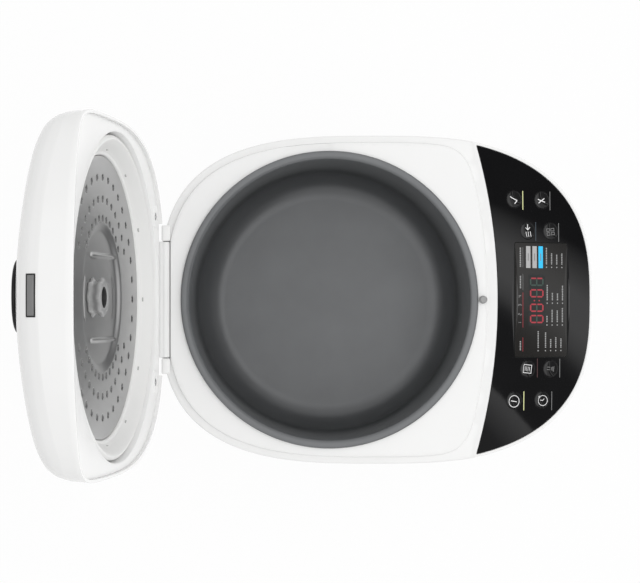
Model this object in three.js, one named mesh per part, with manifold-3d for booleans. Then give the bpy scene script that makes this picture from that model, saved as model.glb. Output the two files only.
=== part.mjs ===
// A countertop multicooker with its lid standing open: a base with a lift-out bowl and a sloping key panel,
// and a hinged lid with a pull-off inner lid. Millimetres, Z up, the front towards -Y.
import * as THREE from "three";
import { mergeVertices } from "three/addons/utils/BufferGeometryUtils.js";
import Module from "manifold-3d";

const wasm = await Module();
wasm.setup();

// Working values for the solids
const gap = 0.3;
const overrun = 5;
const weld = 0.001;
const roundSides = 36;
const hiddenSides = 24;
const smallSides = 12;
const barrelSides = 24;
const keySides = 12;
const planSides = 48;
const arcSides = 180;

// Bowl and the space under it, which set the size of everything round them
const bowl = {
  lipRadius: 120,
  lipThickness: 2.3,
  wall: 2,
  shoulder: 5,
  depth: 140.2,
  cornerRadius: 26,
};
const heaterSpace = 54;
const rimZ = heaterSpace + bowl.wall + bowl.depth;

// Body outline: two half superellipses that share their width
const sideMargin = 12.6;
const rearMargin = 17;
const frontMargin = 98.5;
const bodyCentreY = -37;
const rearCurl = 3;
const frontCurl = 2.83;
const bodyHalfWidth = bowl.lipRadius + sideMargin;
const bodyRearY = bowl.lipRadius + rearMargin;
const bodyFrontY = -(bowl.lipRadius + frontMargin);

// Levels of the top
const rimAboveLedge = 4.7;
const ledgeZ = rimZ - rimAboveLedge;
const plateauRise = 2.1;
const plateauZ = ledgeZ + plateauRise;

// Lid outline, hinge and how far the lid stands open
const lidFrontMargin = 11.2;
const lidArcRadius = 454.2;
const lidFrontY = -(bowl.lipRadius + lidFrontMargin);
const arcCentreY = lidFrontY + lidArcRadius;
const lidInset = 2.5;
const cornerSharpness = 14;
const hingeMargin = 12.5;
const hingeDrop = 5.7;
const hingeY = bowl.lipRadius + hingeMargin;
const hingeZ = rimZ - hingeDrop;
const lidRearSetback = 2.5;
const openDegrees = 99;

// Sloping front
const slopeAngle = THREE.MathUtils.degToRad(24);
const slopeSetback = 2.3;
const slopeStart = lidArcRadius + slopeSetback;
const slopeReach = 120;
const slopeHeadroom = 60;

// Body shell
const shell = {
  wall: 2.5,
  bottomZ: 7.6,
  bottomInset: 12,
  skirt: 8.5,
  deckThickness: 3.4,
  edgeRounding: 1.5,
};
const seamZ = ledgeZ - shell.skirt;
const sideHeightShares = [0, 0.03, 0.14, 0.5, 1];
const sideInsetShares = [1, 0.62, 0.38, 0.18, 0.02];

// Seat for the lid and the opening for the bowl
const seat = {
  inset: 5.7,
  frontClearance: 1.4,
  holeRadius: bowl.lipRadius - 2.5,
  notchLength: 39,
  notchY: 18.5,
  notchDepth: 6,
  notchDrop: 1.2,
};

// Lid
const lid = {
  edge: 1.5,
  wall: 2.2,
  crease: 26,
  creaseDrop: 11,
  creaseReach: 112,
  headroom: 31.6,
  crownDrop: 14.4,
  domeReach: 85,
  linerLevel: 4,
  linerThickness: 2,
  pocketRadius: bowl.lipRadius + 1.5,
  pocketDepth: 19,
  wellMargin: 4,
  notchHalfWidth: 61.2,
  linerRelief: 6.2,
};
const domeHeight = lid.pocketDepth + lid.linerThickness + lid.headroom;
const domeInsetShares = [0, 0.025, 0.09, 0.2, 0.42, 1];
const domeHeightShares = [0, 0.32, 0.61, 0.775, 0.89, 1];
const domeTopShare = 0.3;
const domeDraft = 1;
const creaseCurl = 2.6;
const crownCurl = 1.7;

// Hinge
const hinge = {
  barrelRadius: 3.8,
  barrelHalfLength: 46.7,
  pinRadius: 1.6,
  pinEndCover: 2,
  pinClearance: 0.35,
  endClearance: 0.6,
  lugLength: 12.7,
  lugRise: 0.6,
  frontClearance: 0.5,
  floorClearance: 0.9,
  floorThickness: 1.8,
  springPocketLength: 9.2,
  springRadius: 2.5,
  springWire: 0.45,
  springTurns: 5,
};
const bracket = { thickness: 2, overhang: 2 };
const pinBore = hinge.pinRadius + hinge.pinClearance;
const springPocket = hinge.springRadius + hinge.springWire + hinge.pinClearance;
const troughHalfLength = hinge.barrelHalfLength + hinge.endClearance;
const lugEnd = troughHalfLength + hinge.lugLength;
const pinHalfLength = lugEnd - hinge.pinEndCover;
const troughFrontY = hingeY - hinge.barrelRadius - hinge.frontClearance;
const troughFloorZ = hingeZ - hinge.barrelRadius - hinge.floorClearance;
const lugBottomZ = troughFloorZ - hinge.floorThickness;
const lugTopZ = hingeZ + hinge.barrelRadius + hinge.lugRise;

// Control panel, window and keys
const panel = {
  halfWidth: bodyHalfWidth - 2.1,
  frontInset: 2.4,
  curl: 2.6,
  innerRadius: lidArcRadius + 5.1,
  thickness: 2,
  proud: 0.2,
  ledge: 4,
  bossRadius: 2.8,
  bossSpread: 27,
};
const displayGlass = {
  halfWidth: 46.8,
  rearMargin: 30.7,
  depth: 45.7,
  corner: 2,
  thickness: 1.6,
};
const key = {
  radius: 6.9,
  dish: 0.5,
  edge: 0.4,
  capDepth: 2.3,
  flange: 1.1,
  flangeThickness: 0.8,
  stemRadius: 2.2,
  length: 7.6,
  travel: 0.6,
  clearance: 0.35,
};
const dishShare = 0.6;
const keyColumns = { outer: 81.8, inner: 56.3 };
const keyRows = { outerRear: 30.5, outerFront: 54.5, innerRear: 42, innerFront: 61.9 };
const keyPlaces = {
  key_confirm: [keyColumns.outer, keyRows.outerRear],
  key_cancel: [keyColumns.outer, keyRows.outerFront],
  key_memory: [keyColumns.inner, keyRows.innerRear],
  key_manual: [keyColumns.inner, keyRows.innerFront],
  key_power: [-keyColumns.outer, keyRows.outerRear],
  key_timer: [-keyColumns.outer, keyRows.outerFront],
  key_menu: [-keyColumns.inner, keyRows.innerRear],
  key_keep_warm: [-keyColumns.inner, keyRows.innerFront],
};
const board = { thickness: 1.6, halfWidth: 96, depth: 62, cornerCut: 32, drop: 13.5, switchSize: 5 };

// Striker and the latch in the lid
const striker = {
  setback: 5.2,
  footRadius: 3.2,
  footHeight: 1,
  neckRadius: 1.4,
  headRadius: 2.9,
  neckTop: 5.3,
  headTop: 7.3,
};
const button = {
  halfLength: 14.3,
  low: 28,
  height: 6.6,
  proud: 0.6,
  backLength: 1.8,
  flange: 2.6,
  flangeThickness: 1.6,
  flangeClearance: 1.4,
  travel: 4.5,
};
const latch = {
  plate: 1.5,
  fingerReach: 2.4,
  fingerWidth: 2.2,
  frontClearance: 1.2,
  legStart: 10,
  legEnd: 14,
  legThickness: 2.2,
  bridgeEnd: 16,
  bridge: 2,
  tabHeight: 3,
  camSetback: 13,
  camThickness: 3,
  travel: 6,
  slotHalfWidth: 3.8,
};
const buttonSpring = {
  radius: 2.2,
  wire: 0.4,
  turns: 6,
  length: 12.4,
  post: 2,
  postHalfWidth: 4,
  postRise: 4,
};

// Inner lid with its sunk floor, its seal, the valve hub and the steam way
const disc = {
  radius: bowl.lipRadius - 15.4,
  level: 16.5,
  thickness: 0.9,
  floorRadius: 50,
  stepWidth: 4,
  recess: 2.8,
  hole: 9.2,
  rim: 1.6,
};
const seal = { clearance: 0.4, crestSetback: 3.8, outerSetback: 0.6, crestGap: 0.3, lip: 1.8 };
const hub = {
  setback: 21,
  radius: 13.4,
  lobe: 0.9,
  lobes: 8,
  pointsPerLobe: 8,
  height: 10,
  bore: 7.3,
  bossRadius: 8.8,
  bossRise: 5,
};
const hubY = -hub.setback;
const duct = { radius: 11, wall: 1.5, hole: 12, flangeRadius: 16, flangeThickness: 1.4, sealRadius: 12.8 };
const trim = { halfWidth: 26, frontSetback: 15, rearCentreY: 30, thickness: 2.9 };
const cap = {
  radius: 19,
  rise: 2.2,
  plate: 1.8,
  skirt: 2,
  plugRadius: 8.9,
  plugWall: 1.4,
  plugDepth: 6,
  ventWidth: 5,
};

// Under the bowl
const chamber = { clearance: 3.2, wall: 0.8, floorZ: 40, floorHole: 72, flange: 4 };
const plate = {
  radius: 86,
  chamfer: 4,
  hole: 16,
  coilRadius: 62,
  coilHalfWidth: 6,
  coilDrop: 5,
  terminalLength: 10,
  terminalSize: 4,
  terminalAngle: 0.35,
};
const heaterBand = { thickness: 1.2, height: 30, centreZ: 125 };
const sensor = {
  radius: 12.8,
  wall: 1.2,
  topThickness: 3,
  length: 17.7,
  cupClearance: 0.7,
  cupWall: 1,
  cupDepth: 17,
  flangeRadius: 24,
  cupHole: 4,
  springRadius: 8.5,
  springWire: 0.7,
  springTurns: 5,
};

// Underside, screws, feet and inlet
const cover = { thickness: 3, inset: 12.3, ventLength: 34, ventWidth: 3.6, ventPitch: 9, ventsEachSide: 3 };
const foot = { height: 4, radius: 11, chamfer: 1.2, acrossShare: 0.62, alongShare: 0.66 };
const screw = {
  headRadius: 3.2,
  headHeight: 1.5,
  shank: 1.5,
  length: 14,
  hole: 1.9,
  boss: 4.6,
  bossHeight: 18,
};
const screwShares = [0.74, 0.6];
const coverTop = foot.height + gap + cover.thickness;
const inlet = {
  halfWidth: 13,
  halfHeight: 9.5,
  wall: 1.8,
  depth: 17,
  flange: 2.6,
  flangeThickness: 1.6,
  centreZ: 25.5,
  standoff: 0.8,
  pinWidth: 2,
  pinHeight: 4,
  pinLength: 8,
  pinSpread: 6,
};
const power = {
  halfWidth: 48,
  rearMargin: 34,
  depth: 46,
  thickness: 1.6,
  standoff: 12,
  standoffRadius: 3,
  coilBlock: 24,
  coilHeight: 19,
  capacitorRadius: 6,
  capacitorHeight: 15,
  relayLength: 19,
  relayDepth: 15,
};
const lidScrew = {
  x: 66,
  rearMargin: 19,
  length: 12,
  boss: 4.2,
  padHalfWidth: 9,
  padHalfDepth: 5,
  padDrop: 0.6,
};

const lidScrewY = hingeY - lidScrew.rearMargin;

// Finishes
const whitePlastic = { color: 0xf2f2f0, roughness: 0.28, metalness: 0 };
const blackGloss = { color: 0x0b0b0c, roughness: 0.08, metalness: 0 };
const displayTint = { color: 0x1c1c1e, roughness: 0.05, metalness: 0 };
const greyCoating = { color: 0x53565a, roughness: 0.45, metalness: 0.1 };
const aluminium = { color: 0x9a9c9e, roughness: 0.38, metalness: 0.9 };
const castMetal = { color: 0x8d8f90, roughness: 0.6, metalness: 0.8 };
const steel = { color: 0xb9bbbd, roughness: 0.3, metalness: 1 };
const springSteel = { color: 0x8f9193, roughness: 0.35, metalness: 1 };
const greyGloss = { color: 0x7c7e80, roughness: 0.3, metalness: 0.3 };
const silicone = { color: 0xe9e9e6, roughness: 0.6, metalness: 0 };
const darkRubber = { color: 0x2a2a2b, roughness: 0.8, metalness: 0 };
const blackPlastic = { color: 0x1d1d1f, roughness: 0.5, metalness: 0 };
const boardGreen = { color: 0x1f4a33, roughness: 0.5, metalness: 0 };
const foil = { color: 0xa9a49a, roughness: 0.5, metalness: 0.6 };

// Turns a closed geometry into a solid with its faces outwards.
function solid(geometry) {
  const bare = geometry.index ? geometry.toNonIndexed() : geometry.clone();
  bare.deleteAttribute("normal");
  bare.deleteAttribute("uv");
  const merged = mergeVertices(bare, weld);
  const corners = merged.index.array;
  const kept = [];
  for (let i = 0; i < corners.length; i += 3) {
    const [a, b, c] = corners.slice(i, i + 3);
    if (a !== b && b !== c && c !== a) kept.push(a, b, c);
  }
  const points = new Float32Array(merged.attributes.position.array);
  const build = (triangles) =>
    new wasm.Manifold(
      new wasm.Mesh({ numProp: 3, vertProperties: points, triVerts: new Uint32Array(triangles) }),
    );
  const made = build(kept);
  if (made.volume() > 0) return made;
  for (let i = 0; i < kept.length; i += 3) [kept[i + 1], kept[i + 2]] = [kept[i + 2], kept[i + 1]];
  return build(kept);
}

function geometryOf(body) {
  const mesh = body.getMesh();
  const count = mesh.numProp;
  const points = new Float32Array(mesh.numVert * 3);
  for (let i = 0; i < mesh.numVert; i++) {
    points.set(mesh.vertProperties.subarray(i * count, i * count + 3), i * 3);
  }
  const geometry = new THREE.BufferGeometry();
  geometry.setAttribute("position", new THREE.BufferAttribute(points, 3));
  geometry.setIndex(new THREE.BufferAttribute(new Uint32Array(mesh.triVerts), 1));
  geometry.computeVertexNormals();
  return geometry;
}

// A turned solid from [radius, height] pairs.
function turned(profile, sides = roundSides, centreY = 0) {
  const points = profile.map(([radius, height]) => new THREE.Vector2(radius, height));
  if (profile[0][0] > 0) points.push(points[0].clone());
  const geometry = new THREE.LatheGeometry(points, sides);
  geometry.rotateX(Math.PI / 2);
  geometry.translate(0, centreY, 0);
  return solid(geometry);
}

// Stacked outlines of equal count joined by a skin: capped at both ends, or closed on itself.
function loft(rings, closed = false) {
  const count = rings[0].length;
  const points = rings.flat();
  const triangles = [];
  const quad = (a, b, c, d) => triangles.push(a, b, c, a, c, d);
  const spans = closed ? rings.length : rings.length - 1;
  for (let i = 0; i < spans; i++) {
    const next = (i + 1) % rings.length;
    for (let j = 0; j < count; j++) {
      const k = (j + 1) % count;
      quad(i * count + j, i * count + k, next * count + k, next * count + j);
    }
  }
  if (!closed) {
    for (const ring of [0, rings.length - 1]) {
      const middle = new THREE.Vector3();
      rings[ring].forEach((p) => middle.add(p));
      points.push(middle.divideScalar(count));
      for (let j = 0; j < count; j++) {
        const edge = [ring * count + ((j + 1) % count), ring * count + j];
        if (ring > 0) edge.reverse();
        triangles.push(points.length - 1, edge[0], edge[1]);
      }
    }
  }
  const geometry = new THREE.BufferGeometry().setFromPoints(points);
  geometry.setIndex(triangles);
  return solid(geometry);
}

const atHeight = (outline, z) => outline.map((p) => new THREE.Vector3(p.x, p.y, z));
const prism = (outline, low, high) => loft([atHeight(outline, low), atHeight(outline, high)]);

function block(lowX, highX, lowY, highY, lowZ, highZ) {
  const geometry = new THREE.BoxGeometry(highX - lowX, highY - lowY, highZ - lowZ);
  geometry.translate((lowX + highX) / 2, (lowY + highY) / 2, (lowZ + highZ) / 2);
  return solid(geometry);
}

function disk(radius, low, high, x = 0, y = 0, sides = smallSides) {
  const geometry = new THREE.CylinderGeometry(radius, radius, high - low, sides);
  geometry.rotateX(Math.PI / 2);
  geometry.translate(x, y, (low + high) / 2);
  return solid(geometry);
}

// A round bar along X.
function bar(radius, lowX, highX, y, z, sides = smallSides) {
  const geometry = new THREE.CylinderGeometry(radius, radius, highX - lowX, sides);
  geometry.rotateZ(Math.PI / 2);
  geometry.translate((lowX + highX) / 2, y, z);
  return solid(geometry);
}

// An upright plate or block whose plan is a list of [x, y] corners.
function cut(corners, low, high) {
  const shape = new THREE.Shape(corners.map(([x, y]) => new THREE.Vector2(x, y)));
  const geometry = new THREE.ExtrudeGeometry(shape, { depth: high - low, bevelEnabled: false });
  geometry.translate(0, 0, low);
  return solid(geometry);
}

// A round wire wound up the Z axis.
function coil(radius, wire, height, turns) {
  const stepsPerTurn = 6;
  const wireSides = 4;
  const steps = stepsPerTurn * turns;
  const rise = height - 2 * wire;
  const slope = Math.atan2(rise / turns, 2 * Math.PI * radius);
  const rings = [];
  for (let i = 0; i <= steps; i++) {
    const angle = (i / stepsPerTurn) * 2 * Math.PI;
    const middle = wire + (rise * i) / steps;
    const ring = [];
    for (let j = 0; j < wireSides; j++) {
      const around = (j / wireSides) * 2 * Math.PI;
      const out = radius + wire * Math.cos(around);
      const along = -wire * Math.sin(around) * Math.sin(slope);
      const up = wire * Math.sin(around) * Math.cos(slope);
      const x = out * Math.cos(angle) - along * Math.sin(angle);
      const y = out * Math.sin(angle) + along * Math.cos(angle);
      ring.push(new THREE.Vector3(x, y, middle + up));
    }
    rings.push(ring);
  }
  return loft(rings);
}

// Plan outlines, as radii at an angle round the plan's centre
function bodyRadius(angle, inset) {
  const rear = Math.sin(angle) > 0;
  const depth = rear ? bodyRearY - bodyCentreY : bodyCentreY - bodyFrontY;
  const curl = rear ? rearCurl : frontCurl;
  const across = Math.abs(Math.cos(angle)) / (bodyHalfWidth - inset);
  const along = Math.abs(Math.sin(angle)) / (depth - inset);
  return (across ** curl + along ** curl) ** (-1 / curl);
}

function arcRadiusAt(angle, radius) {
  const away = bodyCentreY - arcCentreY;
  return -away * Math.sin(angle) + Math.sqrt(radius ** 2 - (away * Math.cos(angle)) ** 2);
}

function softer(a, b) {
  return (a ** -cornerSharpness + b ** -cornerSharpness) ** (-1 / cornerSharpness);
}

function plan(radiusAt) {
  const points = [];
  for (let i = 0; i < planSides; i++) {
    const angle = (i / planSides) * 2 * Math.PI;
    const radius = radiusAt(angle);
    points.push(new THREE.Vector2(radius * Math.cos(angle), bodyCentreY + radius * Math.sin(angle)));
  }
  return points;
}

const bodyPlan = (inset) => plan((angle) => bodyRadius(angle, inset));

function lidPlan(inset) {
  const rearY = hingeY - lidRearSetback - inset;
  return plan((angle) => {
    const radius = softer(bodyRadius(angle, lidInset + inset), arcRadiusAt(angle, lidArcRadius - inset));
    const behind = Math.sin(angle) > 0 ? (rearY - bodyCentreY) / Math.sin(angle) : Infinity;
    return Math.min(radius, behind);
  });
}

function seatPlan(inset) {
  const arc = lidArcRadius - lid.wall - seat.frontClearance - inset;
  return plan((angle) => softer(bodyRadius(angle, seat.inset + inset), arcRadiusAt(angle, arc)));
}

function panelPlan(inset) {
  return plan((angle) => {
    const depth = bodyCentreY - bodyFrontY - panel.frontInset - inset;
    const across = Math.abs(Math.cos(angle)) / (panel.halfWidth - inset);
    const along = Math.abs(Math.sin(angle)) / depth;
    return (across ** panel.curl + along ** panel.curl) ** (-1 / panel.curl);
  });
}

// The sloping front is part of a wide cone round the centre of the lid's front arc.
const slopeZ = (radius, drop) => ledgeZ - drop - Math.max(0, radius - slopeStart) * Math.tan(slopeAngle);

function slopeLayer(innerRadius, lowDrop, highDrop) {
  const outerRadius = slopeStart + slopeReach;
  const profile = [
    [innerRadius, slopeZ(innerRadius, lowDrop)],
    [outerRadius, slopeZ(outerRadius, lowDrop)],
    [outerRadius, slopeZ(outerRadius, highDrop)],
    [innerRadius, slopeZ(innerRadius, highDrop)],
  ];
  return turned(profile, arcSides, arcCentreY);
}

const aboveSlope = (drop) => slopeLayer(slopeStart, drop, -slopeHeadroom);

// A frame standing on the slope at a place in plan: its Z axis is the surface's normal.
function slopeFrame(x, y) {
  const radius = Math.hypot(x, y - arcCentreY);
  const outward = Math.atan2(x, arcCentreY - y);
  const frame = new THREE.Object3D();
  frame.position.set(x, y, slopeZ(radius, 0));
  frame.rotation.set(slopeAngle, 0, outward, "ZYX");
  frame.updateMatrix();
  return frame;
}

function placed(body, frame) {
  return solid(geometryOf(body).applyMatrix4(frame.matrix));
}

const multicooker = new THREE.Group();
const base = new THREE.Group();
const lidPivot = new THREE.Group();
lidPivot.position.set(0, hingeY, hingeZ);
lidPivot.rotation.x = -THREE.MathUtils.degToRad(openDegrees);
multicooker.add(base, lidPivot);

function addPiece(group, name, body, finish) {
  const mesh = new THREE.Mesh(geometryOf(body), new THREE.MeshStandardMaterial(finish));
  mesh.name = name;
  group.add(mesh);
  return mesh;
}

const addToBase = (name, body, finish) => addPiece(base, name, body, finish);

// Lid pieces are shaped where they lie when the lid is shut, then hung on the hinge.
function addToLid(name, body, finish) {
  const mesh = addPiece(lidPivot, name, body, finish);
  mesh.geometry.translate(0, -hingeY, -hingeZ);
  return mesh;
}

// Body wall
function sideRing(heightShare, insetShare, inward) {
  const z = shell.bottomZ + heightShare * (seamZ - gap - shell.bottomZ);
  return atHeight(bodyPlan(insetShare * shell.bottomInset + inward), z);
}

function wallHollow(grow) {
  const side = (s, i) => sideRing(s, sideInsetShares[i], shell.wall - grow);
  return sideHeightShares.map(side);
}

const screwPlaces = [];
for (const across of [1, -1]) {
  for (const along of [1, -1]) {
    const share = along > 0 ? screwShares[0] : screwShares[1];
    const angle = Math.atan2(along * share, across * (1 - share * share));
    const radius = bodyRadius(angle, shell.bottomInset + screw.boss);
    screwPlaces.push([radius * Math.cos(angle), bodyCentreY + radius * Math.sin(angle)]);
  }
}

function makeOuterBody() {
  const outside = sideHeightShares.map((s, i) => sideRing(s, sideInsetShares[i], 0));
  let body = loft([...outside, ...wallHollow(0).reverse()], true);
  const bossLow = shell.bottomZ;
  const outsideSolid = loft(outside);
  for (const [x, y] of screwPlaces) {
    const boss = disk(screw.boss, bossLow, bossLow + screw.bossHeight, x, y).intersect(outsideSolid);
    body = body.add(boss);
    body = body.subtract(disk(screw.hole, bossLow - overrun, bossLow + screw.bossHeight - screw.hole, x, y));
  }
  body = body.subtract(aboveSlope(shell.skirt + gap));
  const lugX = lugEnd + gap;
  const lugFrontY = troughFrontY - shell.wall - gap;
  body = body.subtract(block(-lugX, lugX, lugFrontY, bodyRearY + overrun, lugBottomZ - gap, ledgeZ));
  const holeX = inlet.halfWidth + gap;
  const holeZ = inlet.halfHeight + gap;
  return body.subtract(
    block(-holeX, holeX, bowl.lipRadius, bodyRearY + overrun, inlet.centreZ - holeZ, inlet.centreZ + holeZ),
  );
}
addToBase("outer_body", makeOuterBody(), whitePlastic);

// Underside
function makeBottomCover() {
  const low = foot.height + gap;
  let body = prism(bodyPlan(cover.inset), low, coverTop);
  for (const [x, y] of screwPlaces) {
    body = body.subtract(disk(screw.hole, low - overrun, coverTop + overrun, x, y));
    body = body.subtract(disk(screw.headRadius + gap, low - overrun, low + screw.headHeight + gap, x, y));
  }
  for (let i = 0; i < cover.ventsEachSide; i++) {
    for (const side of [1, -1]) {
      const middle = side * (i + 0.5) * cover.ventPitch;
      const half = cover.ventWidth / 2;
      const length = cover.ventLength / 2;
      body = body.subtract(
        block(-length, length, middle - half, middle + half, low - overrun, coverTop + overrun),
      );
    }
  }
  for (const [x, y] of powerCorners()) {
    body = body.add(disk(power.standoffRadius, coverTop - weld - gap, coverTop + power.standoff, x, y));
  }
  return body;
}

function powerCorners() {
  const inX = power.halfWidth - 2 * power.standoffRadius;
  const front = bodyFrontY + power.rearMargin - 2 * power.standoffRadius;
  const near = front + 2 * power.standoffRadius;
  const far = front + power.depth;
  return [
    [inX, near],
    [-inX, near],
    [inX, far],
    [-inX, far],
  ];
}
addToBase("bottom_cover", makeBottomCover(), whitePlastic);

const footX = bodyHalfWidth * foot.acrossShare;
const footReach = (bodyRearY - bodyFrontY) / 2;
const footMiddleY = (bodyRearY + bodyFrontY) / 2;
const footY = footReach * foot.alongShare;
const footNames = {
  foot_front_right: [footX, footMiddleY - footY],
  foot_front_left: [-footX, footMiddleY - footY],
  foot_rear_right: [footX, footMiddleY + footY],
  foot_rear_left: [-footX, footMiddleY + footY],
};
for (const [name, [x, y]] of Object.entries(footNames)) {
  const profile = [
    [0, 0],
    [foot.radius - foot.chamfer, 0],
    [foot.radius, foot.chamfer],
    [foot.radius, foot.height],
    [0, foot.height],
  ];
  addToBase(name, turned(profile, smallSides), darkRubber).position.set(x, y, 0);
}

function makeScrew(length) {
  const profile = [
    [0, 0],
    [screw.headRadius, 0],
    [screw.headRadius, screw.headHeight],
    [screw.shank, screw.headHeight],
    [screw.shank, length - screw.shank],
    [0, length],
  ];
  return turned(profile, smallSides / 2);
}
screwPlaces.forEach(([x, y], i) => {
  const mesh = addToBase("base_screw_" + (i + 1), makeScrew(screw.length), steel);
  mesh.position.set(x, y, foot.height + gap);
});

// Power inlet
function makeInlet() {
  const wallY = bodyRearY - sideInsetShares[2] * shell.bottomInset;
  const faceY = wallY + inlet.standoff + inlet.flangeThickness;
  const { halfWidth: w, halfHeight: h, centreZ: z, flange: f } = inlet;
  const flangeY = faceY - inlet.flangeThickness;
  let body = block(-w - f, w + f, flangeY, faceY, z - h - f, z + h + f);
  body = body.add(block(-w, w, faceY - inlet.depth, faceY - gap, z - h, z + h));
  const inW = w - inlet.wall;
  const inH = h - inlet.wall;
  const floorY = faceY - inlet.depth + inlet.wall;
  body = body.subtract(block(-inW, inW, floorY, faceY + overrun, z - inH, z + inH));
  for (const x of [-inlet.pinSpread, 0, inlet.pinSpread]) {
    const half = inlet.pinWidth / 2;
    const rise = x === 0 ? inlet.pinWidth : -inlet.pinWidth;
    const lowZ = z + rise - inlet.pinHeight / 2;
    const endY = floorY + inlet.pinLength;
    body = body.add(block(x - half, x + half, floorY - gap, endY, lowZ, lowZ + inlet.pinHeight));
  }
  return body;
}
addToBase("power_inlet", makeInlet(), blackPlastic);

// Top moulding
function makeTopDeck() {
  const deep = seamZ - slopeHeadroom;
  const round = shell.edgeRounding;
  let body = loft([
    atHeight(bodyPlan(0), deep),
    atHeight(bodyPlan(0), ledgeZ - round),
    atHeight(bodyPlan(round / 3), ledgeZ - round / 3),
    atHeight(bodyPlan(round), ledgeZ),
  ]).subtract(aboveSlope(0));
  const under = ledgeZ - shell.deckThickness;
  body = body.subtract(
    prism(bodyPlan(shell.wall), deep - overrun, under).subtract(aboveSlope(shell.deckThickness)),
  );
  body = body.subtract(
    prism(bodyPlan(-overrun), deep - overrun, seamZ).subtract(aboveSlope(shell.skirt)),
  );
  body = body.add(prism(seatPlan(0), ledgeZ - shell.deckThickness / 2, plateauZ));
  body = body.subtract(disk(seat.holeRadius, under - overrun, plateauZ + overrun, 0, 0, roundSides));
  // Finger notch on the user's right
  const notchX = bodyHalfWidth - seat.inset - seat.notchDepth;
  const notchLow = seat.notchY - seat.notchLength / 2;
  body = body.subtract(
    block(notchX, bodyHalfWidth, notchLow, notchLow + seat.notchLength, plateauZ - seat.notchDrop, rimZ),
  );
  // Hinge lugs and trough
  const behindY = bodyRearY + overrun;
  const lugs = block(-lugEnd, lugEnd, troughFrontY - shell.wall, behindY, lugBottomZ, ledgeZ - gap);
  const heads = block(-lugEnd, lugEnd, troughFrontY + gap, behindY, lugBottomZ, lugTopZ);
  body = body.add(lugs.add(heads).intersect(prism(bodyPlan(0), deep, lugTopZ)));
  body = body.subtract(
    block(-troughHalfLength, troughHalfLength, troughFrontY, behindY, troughFloorZ, lugTopZ + overrun),
  );
  body = body.subtract(bar(pinBore, -pinHalfLength - gap, pinHalfLength + gap, hingeY, hingeZ));
  const pocketEnd = troughHalfLength + hinge.springPocketLength;
  body = body.subtract(bar(springPocket, -pocketEnd, pocketEnd, hingeY, hingeZ));
  // Recess and opening for the control panel
  const recess = slopeLayer(panel.innerRadius - gap, panel.thickness - panel.proud + gap, -slopeHeadroom);
  body = body.subtract(recess.intersect(prism(panelPlan(-gap), deep, rimZ)));
  const opening = slopeLayer(panel.innerRadius + panel.ledge, slopeHeadroom, -slopeHeadroom);
  return body.subtract(opening.intersect(prism(panelPlan(panel.ledge), deep - slopeHeadroom, rimZ)));
}
addToBase("top_deck", makeTopDeck(), whitePlastic);

// Control panel
const keyFrames = {};
for (const [name, [x, back]] of Object.entries(keyPlaces)) {
  keyFrames[name] = slopeFrame(x, -(bowl.lipRadius + back));
}

const windowRearY = -(bowl.lipRadius + displayGlass.rearMargin);
function windowPlan(inset) {
  const half = displayGlass.halfWidth - inset;
  const rear = windowRearY - inset;
  const front = windowRearY - displayGlass.depth + inset;
  const c = displayGlass.corner;
  return [
    [-half, front + c],
    [-half + c, front],
    [half - c, front],
    [half, front + c],
    [half, rear - c],
    [half - c, rear],
    [-half + c, rear],
    [-half, rear - c],
  ];
}

const boardFrame = slopeFrame(0, windowRearY - displayGlass.depth / 2);
const bossX = displayGlass.halfWidth + panel.bossRadius + gap;
const bossPlaces = [
  [bossX, panel.bossSpread],
  [-bossX, panel.bossSpread],
  [bossX, -panel.bossSpread],
  [-bossX, -panel.bossSpread],
];

function makePanel() {
  let body = slopeLayer(panel.innerRadius, panel.thickness - panel.proud, -panel.proud);
  body = body.intersect(prism(panelPlan(0), 0, rimZ));
  body = body.subtract(cut(windowPlan(0), 0, rimZ));
  const hole = disk(key.radius + key.clearance, -overrun, overrun);
  for (const frame of Object.values(keyFrames)) body = body.subtract(placed(hole, frame));
  for (const [x, y] of bossPlaces) {
    const boss = disk(panel.bossRadius, gap - board.drop, -panel.thickness, x, y, smallSides / 2);
    body = body.add(placed(boss, boardFrame));
  }
  return body;
}
addToBase("control_panel", makePanel(), blackGloss);

const glassLayer = slopeLayer(panel.innerRadius, displayGlass.thickness - panel.proud, -panel.proud);
addToBase("display_window", glassLayer.intersect(cut(windowPlan(gap), 0, rimZ)), displayTint);

// Keys
function keyBody() {
  const flangeTop = -key.capDepth;
  const flangeLow = flangeTop - key.flangeThickness;
  const profile = [
    [0, panel.proud - key.dish],
    [key.radius * dishShare, panel.proud - key.dish * dishShare],
    [key.radius - key.edge, panel.proud],
    [key.radius, panel.proud - key.edge],
    [key.radius, flangeTop],
    [key.radius + key.flange, flangeTop],
    [key.radius + key.flange, flangeLow],
    [key.stemRadius, flangeLow],
    [key.stemRadius, -key.length],
    [0, -key.length],
  ];
  return turned(profile, keySides);
}
for (const [name, frame] of Object.entries(keyFrames)) {
  const mesh = addToBase(name, keyBody(), blackGloss);
  mesh.position.copy(frame.position);
  mesh.rotation.copy(frame.rotation);
}

// Board behind the panel, with a switch under each key
function makeDisplayBoard() {
  const top = -board.drop;
  const low = top - board.thickness;
  const halfDepth = board.depth / 2;
  const { halfWidth: w, cornerCut: c } = board;
  const corners = [
    [-w, halfDepth],
    [-w, halfDepth - c],
    [-w + c, -halfDepth],
    [w - c, -halfDepth],
    [w, halfDepth - c],
    [w, halfDepth],
  ];
  let body = placed(cut(corners, low, top), boardFrame);
  const half = board.switchSize / 2;
  for (const frame of Object.values(keyFrames)) {
    const switchTop = -key.length - key.travel - gap;
    body = body.add(placed(block(-half, half, -half, half, low - gap, switchTop), frame));
  }
  const digits = displayGlass.halfWidth / 2;
  const digitTop = -panel.thickness - displayGlass.thickness;
  return body.add(
    placed(block(-digits, digits, -board.switchSize, board.switchSize, low, digitTop), boardFrame),
  );
}
addToBase("display_board", makeDisplayBoard(), boardGreen);

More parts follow.
